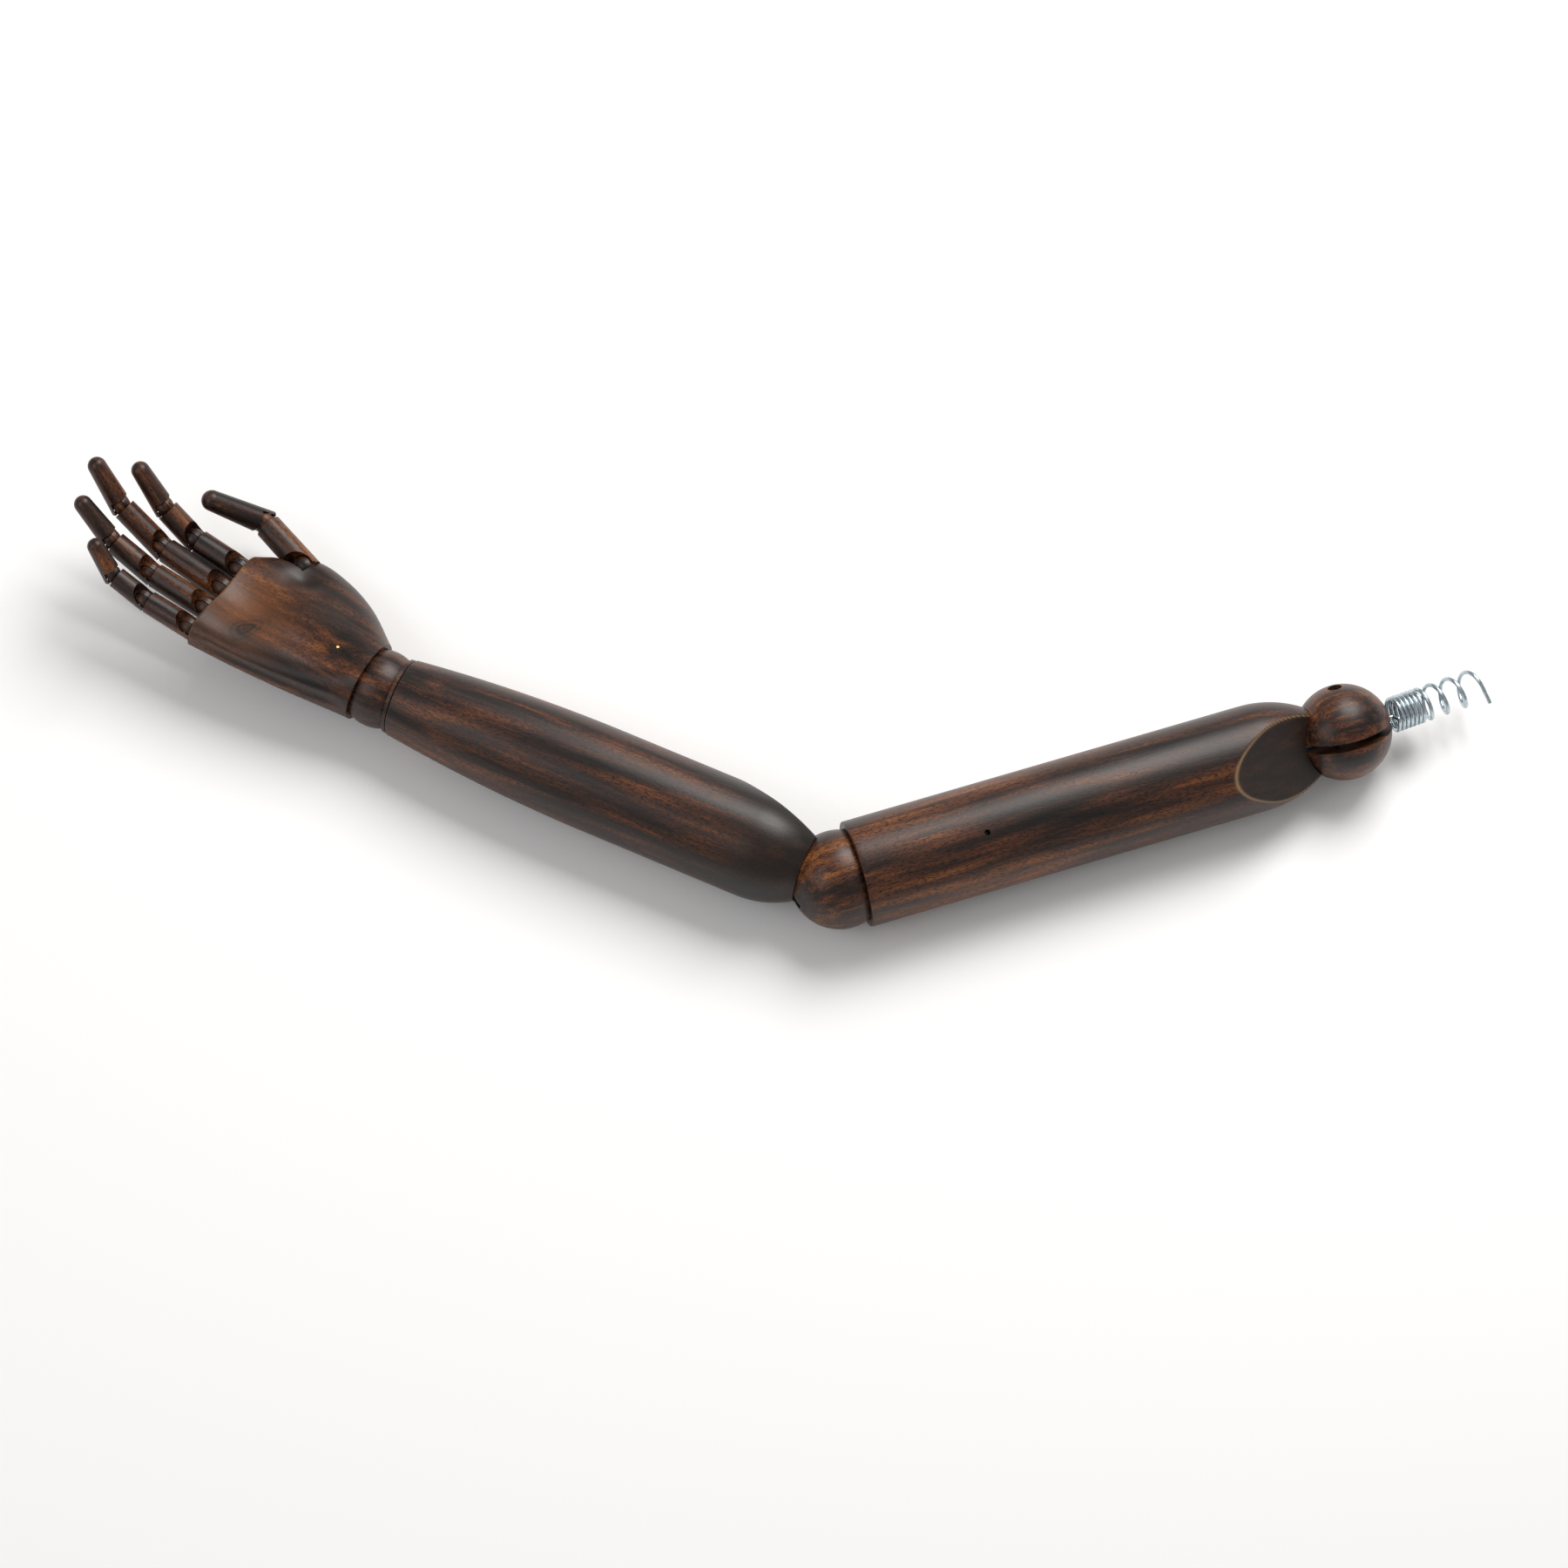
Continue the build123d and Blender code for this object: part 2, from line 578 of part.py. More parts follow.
def shoulder():
    """Slotted ball, its hinge pin, the link that holds it to the arm and the hooked spring."""
    reach = shoulder_ball_radius + 1
    wall = tongue_eye_radius + face_clearance
    with BuildPart() as ball:
        Sphere(shoulder_ball_radius)
        with Locations((0, (reach - wall) / 2, 0)):
            Box(hinge_slot, reach + wall, 2 * reach, mode=Mode.SUBTRACT)
        with Locations(across):
            Cylinder(hinge_pin_radius, 2 * reach, mode=Mode.SUBTRACT)
    keep("shoulder_ball", ball.part, "shoulder")

    with BuildPart() as pin:
        with Locations(across):
            Cylinder(hinge_pin_radius, 2 * (shoulder_ball_radius - pin_cover))
    keep("shoulder_hinge_pin", pin.part, "shoulder")

    shank_start = shoulder_ball_radius + 2.0
    shank_length = spigot_end(shoulder_bush_distance) - shank_start
    plate_near = -hinge_slot / 2 + slot_clearance
    with BuildPart() as link:
        with BuildSketch(Plane.YZ.offset(plate_near)):
            Circle(link_eye_radius)
            with Locations((0, -shank_start / 2 - link_eye_radius / 2)):
                Rectangle(link_width, shank_start + link_eye_radius)
            Circle(hinge_pin_radius + running_clearance, mode=Mode.SUBTRACT)
        extrude(amount=link_thickness)
        with Locations((0, 0, -shank_start - shank_length / 2)):
            Cylinder(spigot_radius, shank_length)
    keep("shoulder_link", link.part, "shoulder")

    wire = shoulder_wire_radius
    hook_x = hinge_slot / 2 - slot_clearance - wire
    hook_radius = hinge_pin_radius + running_clearance + wire + 0.1
    coil_start = shoulder_ball_radius + coil_standoff
    close_height = close_turns * close_pitch
    open_height = open_turns * open_pitch
    turn = 360 * (close_turns % 1)
    with BuildPart() as spring:
        with Locations(Pos(hook_x, 0, 0) * across):
            Torus(hook_radius, wire)
        leg_y = hook_radius - wire / 3
        leg_start = hinge_pin_radius / 2
        leg_end = coil_start - coil_standoff / 2
        with Locations((hook_x, leg_y, (leg_start + leg_end) / 2)):
            Cylinder(wire, leg_end - leg_start)
        with Locations((hook_x, leg_y, leg_end)):
            Sphere(wire)
        with BuildLine():
            bridge = Line((hook_x, leg_y, leg_end), (0, shoulder_coil_radius, coil_start))
        with BuildSketch(bridge ^ 0):
            Circle(wire)
        sweep(path=bridge)
        with Locations((0, shoulder_coil_radius, coil_start)):
            Sphere(wire)
    with BuildPart() as close_coil:
        with BuildLine():
            path = Helix(close_pitch, close_height, shoulder_coil_radius)
        with BuildSketch(path ^ 0):
            Circle(wire)
        sweep(path=path)
    with BuildPart() as open_coil:
        with BuildLine():
            path = Helix(open_pitch, open_height, shoulder_coil_radius)
        with BuildSketch(path ^ 0):
            Circle(wire)
        sweep(path=path)
        with Locations((shoulder_coil_radius, 0, 0)):
            Sphere(wire)
        with BuildLine():
            tail = Line(path @ 1, path @ 1 + spring_tail * (path % 1))
        with BuildSketch(tail ^ 0):
            Circle(wire)
        sweep(path=tail)
    whole = (
        spring.part
        + Pos(0, 0, coil_start) * Rot(0, 0, 90) * close_coil.part
        + Pos(0, 0, coil_start + close_height) * Rot(0, 0, 90 + turn) * open_coil.part
    )
    keep("shoulder_spring", whole, "shoulder_spring")


# ---------------------------------------------------------------- build and write

upper_arm()
elbow()
forearm()
wrist()
palm()
fingers()
shoulder()

box = Compound(children=[piece.moved(Location()) for piece in pieces.values()]).bounding_box()
to_origin = Pos(-box.center().X, -box.center().Y, -box.min.Z)
os.makedirs("parts", exist_ok=True)
for name, piece in pieces.items():
    placed = piece.moved(to_origin)
    placed.label = name
    export_step(placed, f"parts/{name}.step")
print(f"{len(pieces)} pieces, {box.size.X:.1f} x {box.size.Y:.1f} x {box.size.Z:.1f} mm")
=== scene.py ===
# %% [markdown]
# # A jointed wooden arm
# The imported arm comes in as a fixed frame: every rigid piece already lies in its place, in metres.
# This notebook gives the pieces their finish, and replaces the ones whose surface is carved,
# turned or coiled with surfaces worked out with numpy, one small array at a time.

# %% Load the frame
import itertools
import json
import math

import bmesh
import bpy
import numpy as np
from mathutils import Matrix, Vector


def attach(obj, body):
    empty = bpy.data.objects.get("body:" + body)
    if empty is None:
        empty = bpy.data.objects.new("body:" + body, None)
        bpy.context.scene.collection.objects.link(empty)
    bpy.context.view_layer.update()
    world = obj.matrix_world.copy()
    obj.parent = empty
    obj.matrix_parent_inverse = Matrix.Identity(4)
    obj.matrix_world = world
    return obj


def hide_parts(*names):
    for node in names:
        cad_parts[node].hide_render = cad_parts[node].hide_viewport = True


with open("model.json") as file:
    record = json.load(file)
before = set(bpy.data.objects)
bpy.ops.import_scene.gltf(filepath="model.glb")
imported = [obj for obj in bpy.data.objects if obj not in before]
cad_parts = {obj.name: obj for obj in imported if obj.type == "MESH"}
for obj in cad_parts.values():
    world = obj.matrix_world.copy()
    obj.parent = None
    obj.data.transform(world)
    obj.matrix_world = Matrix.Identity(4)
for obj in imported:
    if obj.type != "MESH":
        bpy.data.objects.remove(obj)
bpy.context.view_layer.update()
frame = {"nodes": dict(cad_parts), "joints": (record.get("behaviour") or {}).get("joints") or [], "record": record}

MM = 0.001

# %% [markdown]
# Each limb is easiest to describe in its own frame, with z along the wood's grain. The joints say
# where those frames are: a hinge's position is the frame's origin, and its axis is the frame's x.

# %% Frames of the limbs, the hand and the fingers
joint = {j["name"]: j for j in frame["joints"]}
mount = {m["name"]: np.array(m["pos_m"]) for m in frame["record"]["mounts"]}


def unit(vector):
    """The vector divided by its own length."""
    return np.asarray(vector, float) / np.linalg.norm(vector)


def spot(name):
    """A joint's position."""
    return np.array(joint[name]["pos_m"])


def hinge_x(name):
    """A joint's axis turned round, which is the x of the piece that it carries."""
    return -unit(joint[name]["axis"])


def frame_at(origin, along, side):
    """Origin and axes (as columns) of a frame with z along, and x the part of side square to z."""
    z = unit(along)
    x = unit(side - np.dot(side, z) * z)
    return np.asarray(origin, float), np.column_stack([x, np.cross(z, x), z])


UP = np.array([0.0, 0.0, 1.0])
elbow, shoulder, wrist = spot("arm_elbow_flexion"), spot("arm_shoulder_tilt"), spot("arm_wrist_bend")
places = {
    "upper_arm": frame_at(elbow, shoulder - elbow, UP),
    "forearm": frame_at(elbow, wrist - elbow, UP),
    "shoulder": frame_at(shoulder, shoulder - elbow, hinge_x("arm_shoulder_tilt")),
    "spring": frame_at(shoulder, mount["shoulder_spring_end"] - shoulder, hinge_x("arm_spring_swing")),
    "wrist": frame_at(wrist, wrist - elbow, hinge_x("arm_wrist_bend")),
}

# The palm's x is the ring finger's hinge; its y is square to that and to the way to the knuckle.
palm_x = hinge_x("finger_ring_knuckle")
palm_y = unit(np.cross(spot("finger_ring_knuckle") - wrist, palm_x))
places["palm"] = frame_at(wrist, np.cross(palm_x, palm_y), palm_x)

FINGERS = ("index", "middle", "ring", "little")
SEGMENTS = ("knuckle", "middle", "tip")
for finger in FINGERS:
    first, second, third = (f"finger_{finger}_{segment}" for segment in SEGMENTS)
    places[f"{finger}_proximal"] = frame_at(spot(first), spot(second) - spot(first), hinge_x(first))
    places[f"{finger}_middle"] = frame_at(spot(second), spot(third) - spot(second), hinge_x(second))
    rest_turn = Matrix.Rotation(math.radians(-joint[third]["range_deg"][0]), 3, Vector(joint[third]["axis"]))
    tip_along = np.array(rest_turn) @ places[f"{finger}_middle"][1][:, 2]
    places[f"{finger}_distal"] = frame_at(spot(third), tip_along, hinge_x(third))
thumb_axis = unit(joint["thumb_tip"]["axis"])
places["thumb_proximal"] = frame_at(spot("thumb_base"), spot("thumb_tip") - spot("thumb_base"), thumb_axis)
thumb_turn = Matrix.Rotation(math.radians(-joint["thumb_tip"]["range_deg"][1]), 3, Vector(thumb_axis))
places["thumb_distal"] = frame_at(
    spot("thumb_tip"), np.array(thumb_turn) @ places["thumb_proximal"][1][:, 2], thumb_axis
)
print("frames:", len(places), "upper arm length in mm:", round(1000 * np.linalg.norm(shoulder - elbow), 1))

# %% [markdown]
# ## Camera
# The arm lies on the floor and is seen from its elbow side, from well above, with a long lens
# that keeps the limbs' sides almost parallel.

# %% Camera
CAMERA_ELEVATION = 65.0
CAMERA_DISTANCE = 2.6
CAMERA_LENS = 108.3

target = Vector((elbow[0] - 0.0298, elbow[1] + 0.0705, 0))
tilt = math.radians(CAMERA_ELEVATION)
back = Vector((0, -math.cos(tilt), math.sin(tilt)))
camera = bpy.data.objects.new("camera", bpy.data.cameras.new("camera"))
camera.location = target + CAMERA_DISTANCE * back
camera.rotation_mode = "QUATERNION"
camera.rotation_quaternion = (-back).to_track_quat("-Z", "Y")
camera.data.lens = CAMERA_LENS
bpy.context.scene.collection.objects.link(camera)
bpy.context.scene.camera = camera
print("camera at", [round(c, 3) for c in camera.location])

# %% [markdown]
# ## Helpers for materials
# A shader is a graph of nodes. One function adds a node, sets its fields and inputs, and links
# it; another turns a colour as it is written in hex into the linear values that Blender uses.

# %% Node and colour helpers


def linear(code):
    """sRGB hex to linear RGB: each channel c is c/12.92 below 0.04045, else ((c+0.055)/1.055)^2.4."""
    channels = [int(code[i : i + 2], 16) / 255 for i in (1, 3, 5)]
    return tuple(c / 12.92 if c <= 0.04045 else ((c + 0.055) / 1.055) ** 2.4 for c in channels) + (1.0,)


def add_node(tree, kind, fields=None, inputs=None, links=None):
    """Adds a node; fields are its properties, inputs its unlinked values, links its incoming sockets."""
    node = tree.nodes.new(kind)
    for name, value in (fields or {}).items():
        setattr(node, name, value)
    for name, value in (inputs or {}).items():
        node.inputs[name].default_value = value
    for name, socket in (links or {}).items():
        tree.links.new(socket, node.inputs[name])
    return node


def new_material(name):
    """An empty node material and its tree."""
    material = bpy.data.materials.new(name)
    material.use_nodes = True
    material.node_tree.nodes.clear()
    return material, material.node_tree


def ramp_colours(node, stops):
    """Sets a colour ramp's stops from (position, hex) pairs."""
    elements = node.color_ramp.elements
    while len(elements) < len(stops):
        elements.new(1.0)
    for element, (position, code) in zip(elements, stops):
        element.position = position
        element.color = linear(code)


def grain_coordinates(tree, origin, axes):
    """Object coordinates carried into a piece's own frame: the inverse of its turn and place."""
    coordinates = add_node(tree, "ShaderNodeTexCoord")
    turn = Matrix(axes.tolist()).to_euler()
    return add_node(
        tree,
        "ShaderNodeMapping",
        {"vector_type": "TEXTURE"},
        {"Location": Vector(origin), "Rotation": turn},
        {"Vector": coordinates.outputs["Object"]},
    ).outputs["Vector"]


print("walnut brown in linear light:", [round(c, 4) for c in linear("#3b2115")])

# %% [markdown]
# ## Stained wood
# The arm is turned and carved from a close-grained hardwood, stained to a dark walnut and rubbed
# with a satin varnish. The stain is not even: along the grain run near-black streaks and
# orange-brown ones where it was wiped thinner, each a few millimetres wide and many long. Fine
# pores show as short dark dashes, and the varnish gives a soft, broad, slightly grey highlight.

# %% Stained wood
STREAK_WIDTH = 5.0 * MM
STREAK_STRETCH = 16.0
PATCH_WIDTH = 26.0 * MM
PATCH_STRETCH = 5.0
PATCH_SHARE = 0.46  # of the patches in the tone; the streaks have the rest
PORE_WIDTH = 0.55 * MM  # drawn about twice the real width, so that it shows at arm's length
PORE_STRETCH = 4.5
PORE_STAIN = "#5c4a42"
PORE_DEPTH = 0.15 * MM
HIGHLIGHT = {  # a satin varnish: a soft reflection with a thin, slightly sharper coat over it
    "IOR": 1.45, "Specular IOR Level": 0.38, "Coat Weight": 0.22, "Coat Roughness": 0.30, "Coat IOR": 1.45,
}
# Marks on a piece's surface, each with its colour and how far it covers the wood: by the knuckles
# the stain is wiped thin (warm), and on a flat the end grain has drunk it and is nearly black (facet).
# The rest is painted light: shade is painted shade in hollows, cups, holes, near the joints and on the
# back of the hand, and it also carries the palm's dark knot and darker knuckle balls; rim is a pale
# painted highlight along edges; on the palm, facet's dark colour also paints shade on the thumb's mound.
STAINS_AND_PAINTED_LIGHT = {
    "warm": ("#7d4a22", 0.55), "facet": ("#1d1714", 0.80), "shade": ("#140c08", 0.80), "rim": ("#a98a66", 0.55),
}
SWAY = 0.006  # in metres: how far the grain wanders from straight
WALNUT = ((0.20, "#0e0603"), (0.38, "#29150b"), (0.54, "#4a2612"), (0.70, "#6c3d19"), (0.90, "#8e5622"))


def stained_wood(name, origin, axes, shift, width):
    """Walnut-stained hardwood with its grain along the frame's z; shift picks another part of the board."""
    material, tree = new_material(name)
    local = grain_coordinates(tree, origin + axes @ np.array([shift, 2 * shift, 0.0]), axes)
    sway = add_node(tree, "ShaderNodeTexNoise", None, {"Scale": 9.0, "Detail": 1.0}, {"Vector": local})
    swayed = add_node(
        tree, "ShaderNodeMixRGB", {"blend_type": "LINEAR_LIGHT"}, {"Fac": SWAY},
        {"Color1": local, "Color2": sway.outputs["Color"]},
    ).outputs["Color"]
    noises = []
    for label, grain_width, stretch, detail in (
        ("streaks", STREAK_WIDTH, STREAK_STRETCH, 4.0),
        ("patches", PATCH_WIDTH, PATCH_STRETCH, 2.0),
        ("pores", PORE_WIDTH, PORE_STRETCH, 1.0),
    ):
        size = 1 / (grain_width * width) if label != "pores" else 1 / grain_width
        squeezed = add_node(
            tree, "ShaderNodeMapping", {"vector_type": "POINT"},
            {"Scale": (size, size, size / stretch)}, {"Vector": swayed},
        )
        noise = add_node(
            tree, "ShaderNodeTexNoise", {"label": label},
            {"Scale": 1.0, "Detail": detail, "Roughness": 0.62}, {"Vector": squeezed.outputs["Vector"]},
        )
        noises.append(noise.outputs["Fac"])
    streaks, patches, pores = noises
    tone = add_node(
        tree, "ShaderNodeMix", {"data_type": "FLOAT"}, {"Factor": PATCH_SHARE}, {"A": streaks, "B": patches}
    ).outputs["Result"]
    contrast = add_node(
        tree, "ShaderNodeMapRange", None, {"From Min": 0.28, "From Max": 0.72}, {"Value": tone}
    ).outputs["Result"]
    stain = add_node(tree, "ShaderNodeValToRGB", None, None, {"Fac": contrast})
    ramp_colours(stain, WALNUT)
    pore_mask = add_node(
        tree, "ShaderNodeMapRange", None, {"From Min": 0.46, "From Max": 0.66}, {"Value": pores}
    ).outputs["Result"]
    colour = add_node(
        tree, "ShaderNodeMixRGB", {"blend_type": "MULTIPLY"}, {"Color2": linear(PORE_STAIN)},
        {"Fac": pore_mask, "Color1": stain.outputs["Color"]},
    ).outputs["Color"]
    # each mark mixes its colour over the wood: warm and facet are stain, shade is painted shade, rim a painted
    # highlight
    for mark, (code, strength) in STAINS_AND_PAINTED_LIGHT.items():
        layer = add_node(tree, "ShaderNodeAttribute", {"attribute_name": mark})
        weight = add_node(
            tree, "ShaderNodeMapRange", None, {"To Max": strength}, {"Value": layer.outputs["Fac"]}
        ).outputs["Result"]
        colour = add_node(
            tree, "ShaderNodeMixRGB", None, {"Color2": linear(code)}, {"Fac": weight, "Color1": colour}
        ).outputs["Color"]
    rough = add_node(
        tree, "ShaderNodeMapRange", None, {"From Min": 0.3, "From Max": 0.7, "To Min": 0.36, "To Max": 0.50},
        {"Value": streaks},
    ).outputs["Result"]
    bump = add_node(
        tree, "ShaderNodeBump", {"invert": True}, {"Strength": 0.40, "Distance": PORE_DEPTH}, {"Height": pores}
    )
    shader = add_node(
        tree, "ShaderNodeBsdfPrincipled", None, HIGHLIGHT,
        {"Base Color": colour, "Roughness": rough, "Normal": bump.outputs["Normal"]},
    )
    add_node(tree, "ShaderNodeOutputMaterial", None, None, {"Surface": shader.outputs["BSDF"]})
    return material


def finish_with(node_name, material):
    """Gives a CAD node's object one material in every slot."""
    mesh = frame["nodes"][node_name].data
    for slot in range(len(mesh.materials)):
        mesh.materials[slot] = material
    if not mesh.materials:
        mesh.materials.append(material)


WOODEN = {
    "upper_arm": "upper_arm", "forearm": "forearm", "palm": "palm",
    "elbow_ball": "upper_arm", "wrist_ball": "forearm", "shoulder_ball": "shoulder",
}
segments = [f"{finger}_{part}" for finger in FINGERS for part in ("proximal", "middle", "distal")]
segments += ["thumb_proximal", "thumb_distal"]
WOODEN.update({segment: segment for segment in segments})
LARGE_PIECES = ("upper_arm", "forearm", "palm")
SMALL_GRAIN = 0.6  # share of the large pieces' streak width
BOARD_STEP = 0.037  # metres between the parts of the board that two pieces are cut from
woods = {}
for number, (node_name, place_name) in enumerate(WOODEN.items()):
    origin, axes = places[place_name]
    grain = 1.0 if node_name in LARGE_PIECES else SMALL_GRAIN
    shift = BOARD_STEP * number
    woods[node_name] = stained_wood(f"walnut_stain_{node_name}", origin, axes, shift=shift, width=grain)
    finish_with(node_name, woods[node_name])
print("wooden pieces:", len(woods))

# %% [markdown]
# ## Zinc-plated steel
# The spring, pins, links and tongues are drawn or punched steel with a bright zinc plating: a
# bluish metal with a fairly sharp reflection, slightly clouded where the plating is thicker.

# %% Zinc-plated steel, brass and plain wood


def plated_metal(name, light, shade, roughness):
    """A plated metal: its colour drifts between two hex values, and its roughness around a mean."""
    material, tree = new_material(name)
    coordinates = add_node(tree, "ShaderNodeTexCoord")
    cloud = add_node(
        tree, "ShaderNodeTexNoise", None, {"Scale": 1 / (2.5 * MM), "Detail": 3.0},
        {"Vector": coordinates.outputs["Object"]},
    )
    tint = add_node(tree, "ShaderNodeValToRGB", None, None, {"Fac": cloud.outputs["Fac"]})
    ramp_colours(tint, ((0.3, shade), (0.7, light)))
    rough = add_node(
        tree, "ShaderNodeMapRange", None, {"To Min": roughness - 0.07, "To Max": roughness + 0.07},
        {"Value": cloud.outputs["Fac"]},
    )
    shader = add_node(
        tree, "ShaderNodeBsdfPrincipled", None, {"Metallic": 1.0},
        {"Base Color": tint.outputs["Color"], "Roughness": rough.outputs["Result"]},
    )
    add_node(tree, "ShaderNodeOutputMaterial", None, None, {"Surface": shader.outputs["BSDF"]})
    return material


zinc = plated_metal("zinc_plated_steel", "#ccd6db", "#9fb0b8", 0.24)
brass = plated_metal("brass_nail", "#d8b673", "#a98445", 0.30)
slots = {s["node"]: s["material_slot"] for s in frame["record"]["subparts"]}
for node_name, slot_name in slots.items():
    if slot_name == "zinc_steel":
        finish_with(node_name, zinc)
    elif slot_name == "brass":
        finish_with(node_name, brass)
print("steel pieces:", sum(s == "zinc_steel" for s in slots.values()))

# %% [markdown]
# The bushes and dowels are plain turned beech. They sit inside the limbs; only a dowel's end can
# be seen, at the bottom of its small hole.

# %% Plain beech


def plain_beech(name):
    """Unstained beech: pale, with short darker flecks along the grain."""
    material, tree = new_material(name)
    coordinates = add_node(tree, "ShaderNodeTexCoord")
    flecks = add_node(
        tree, "ShaderNodeTexNoise", None, {"Scale": 1 / (1.2 * MM), "Detail": 3.0},
        {"Vector": coordinates.outputs["Object"]},
    )
    tint = add_node(tree, "ShaderNodeValToRGB", None, None, {"Fac": flecks.outputs["Fac"]})
    ramp_colours(tint, ((0.35, "#8a6238"), (0.65, "#c39a66")))
    shader = add_node(
        tree, "ShaderNodeBsdfPrincipled", None, {"Roughness": 0.62}, {"Base Color": tint.outputs["Color"]}
    )
    add_node(tree, "ShaderNodeOutputMaterial", None, None, {"Surface": shader.outputs["BSDF"]})
    return material


beech = plain_beech("plain_beech")
for node_name, slot_name in slots.items():
    if slot_name == "plain_wood":
        finish_with(node_name, beech)
print("beech pieces:", sum(s == "plain_wood" for s in slots.values()))

# %% [markdown]
# ## Turned and carved surfaces
# A turned limb is a profile carried round an axis. On a grid of angles and rows, each point is
# (r cos a, r sin a, z), so a whole limb is three arrays. The grid becomes quads between
# neighbouring points, and the last column joins the first.

# %% Mesh from a grid of points
FULL_TURN = 2 * math.pi


def grid_faces(rows, columns, start=0):
    """Quads between neighbouring rows and columns; the last column is joined to the first."""
    row = start + columns * np.arange(rows - 1)[:, None]
    column = np.arange(columns)[None, :]
    after = (column + 1) % columns
    corners = [row + column, row + after, row + columns + after, row + columns + column]
    return np.stack(corners, axis=-1).reshape(-1, 4)


def ring_points(radius, height, angles):
    """Rows of (r cos a, r sin a, z); radius and height have one row per ring."""
    radius, height, angles = np.broadcast_arrays(radius, height, angles)
    return np.stack([radius * np.cos(angles), radius * np.sin(angles), height], axis=-1)


def smooth_step(value, low, high):
    """0 below low, 1 above high, and 3t^2 - 2t^3 between them."""
    t = np.clip((value - low) / (high - low), 0.0, 1.0)
    return t * t * (3 - 2 * t)


def smooth_least(first, second, width):
    """The smaller of two arrays, with the corner between them rounded over a width."""
    near = np.clip(1 - np.abs(first - second) / width, 0.0, None)
    return np.minimum(first, second) - near**2 * width / 4


def make_piece(name, grids, place, body, material, marks=None, sharp=38.0):
    """One mesh from grids of points in mm in a place's frame; marks are named values per point."""
    origin, axes = place
    points = np.concatenate([grid.reshape(-1, 3) for grid in grids])
    faces, start = [], 0
    for grid in grids:
        faces.append(grid_faces(grid.shape[0], grid.shape[1], start))
        start += grid.shape[0] * grid.shape[1]
    mesh = bpy.data.meshes.new(name)
    mesh.from_pydata(origin + MM * points @ axes.T, [], np.concatenate(faces))
    for mark, values in (marks or {}).items():
        layer = mesh.attributes.new(mark, "FLOAT", "POINT")
        layer.data.foreach_set("value", np.concatenate([v.ravel() for v in values]).astype(np.float32))
    close_mesh(mesh, sharp)
    mesh.materials.append(material)
    piece = bpy.data.objects.new(name, mesh)
    bpy.context.scene.collection.objects.link(piece)
    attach(piece, body)
    print(name, len(mesh.polygons), "faces")
    return piece


def close_mesh(mesh, sharp):
    """Merges points that coincide, turns every face outwards and marks the sharp edges."""
    shell = bmesh.new()
    shell.from_mesh(mesh)
    bmesh.ops.remove_doubles(shell, verts=shell.verts, dist=0.004 * MM)
    bmesh.ops.recalc_face_normals(shell, faces=shell.faces)
    shell.to_mesh(mesh)
    shell.free()
    mesh.shade_smooth()
    mesh.set_sharp_from_angle(angle=math.radians(sharp))


# %% [markdown]
# ## The upper arm
# The limb is a cylinder that rounds in towards the shoulder. Two flats are cut across that end, so
# the radius at an angle is the smaller of the profile and the distance out to the flat. Where the
# limb meets the shoulder ball's cup its end is scooped: each angle's last row is found by halving
# the interval in which the outline crosses the cup's sphere.

# %% Upper arm: profile, flats and cups
UPPER_RADIUS = 29.5
CUP_GAP = 0.4
ELBOW_CUP = 27.0 + CUP_GAP
SHOULDER_CUP = 26.5 + CUP_GAP
BORE = 8.5
EDGE = 0.8
UPPER_LENGTH = 1000 * float(np.linalg.norm(shoulder - elbow))
UPPER_END = UPPER_LENGTH - 18.6
UPPER_START = 9.5
SHOULDER_TAPER = 34.0
SHOULDER_RADIUS = 19.5
FLAT_OFFSET = 8.2
FLAT_LENGTH = 53.0
CUP_ROWS, EDGE_ROWS = 10, 5


def arc_radius(drop, length):
    """Radius of the arc that starts along the axis and falls by drop over a length."""
    return (drop**2 + length**2) / (2 * drop)


def rounded_taper(height, start, top, drop, length):
    """Radius top up to start, then top - R + sqrt(R^2 - (z - start)^2)."""
    bend = arc_radius(drop, length)
    past = np.clip(height - start, 0.0, length)
    return top - bend + np.sqrt(bend**2 - past**2)


def flat_distance(angles, height, offset, end, slope, sides):
    """Distance out to a flat that leans by slope from an offset at its end; far away elsewhere."""
    facing = np.sin(angles) if sides == 1 else np.abs(np.sin(angles))
    return (offset + slope * (end - height)) / np.clip(facing, 0.02, None)


def crossing(outline, centre, radius, low, high):
    """Height where outline^2 + (z - centre)^2 = radius^2, by halving between low and high."""
    low, high = np.array(low, float), np.array(high, float)
    for _ in range(30):
        middle = (low + high) / 2
        outside = outline(middle) ** 2 + (middle - centre) ** 2 > radius**2
        low, high = np.where(outside, middle, low), np.where(outside, high, middle)
    return (low + high) / 2


def hole_mark(angles, height, radius, hole_angle, hole_height, hole_radius):
    """1 inside a small round hole in the limb's side and 0 outside it, with a narrow edge."""
    across = radius * np.abs((angles - hole_angle + math.pi) % FULL_TURN - math.pi)
    return 1 - smooth_step(np.hypot(across, height - hole_height), hole_radius - 0.15, hole_radius + 0.15)


def angles_with(holes, count, radius):
    """Evenly spaced angles, with a finer run across each hole."""
    runs = [np.linspace(0, FULL_TURN, count, endpoint=False)]
    runs += [(angle + np.linspace(-2.2, 2.2, 19) / radius) % FULL_TURN for angle, *_ in holes]
    return np.unique(np.round(np.concatenate(runs), 6))


def stacked(angles, *bands):
    """Joins bands of (radius, height), each a row or rows, into two grids of one row per ring."""
    radii, heights = [], []
    for radius, height in bands:
        radius, height = np.broadcast_arrays(np.atleast_2d(radius), np.atleast_2d(height))
        shape = (radius.shape[0], len(angles))
        radii.append(np.broadcast_to(radius, shape))
        heights.append(np.broadcast_to(height, shape))
    return np.concatenate(radii), np.concatenate(heights)


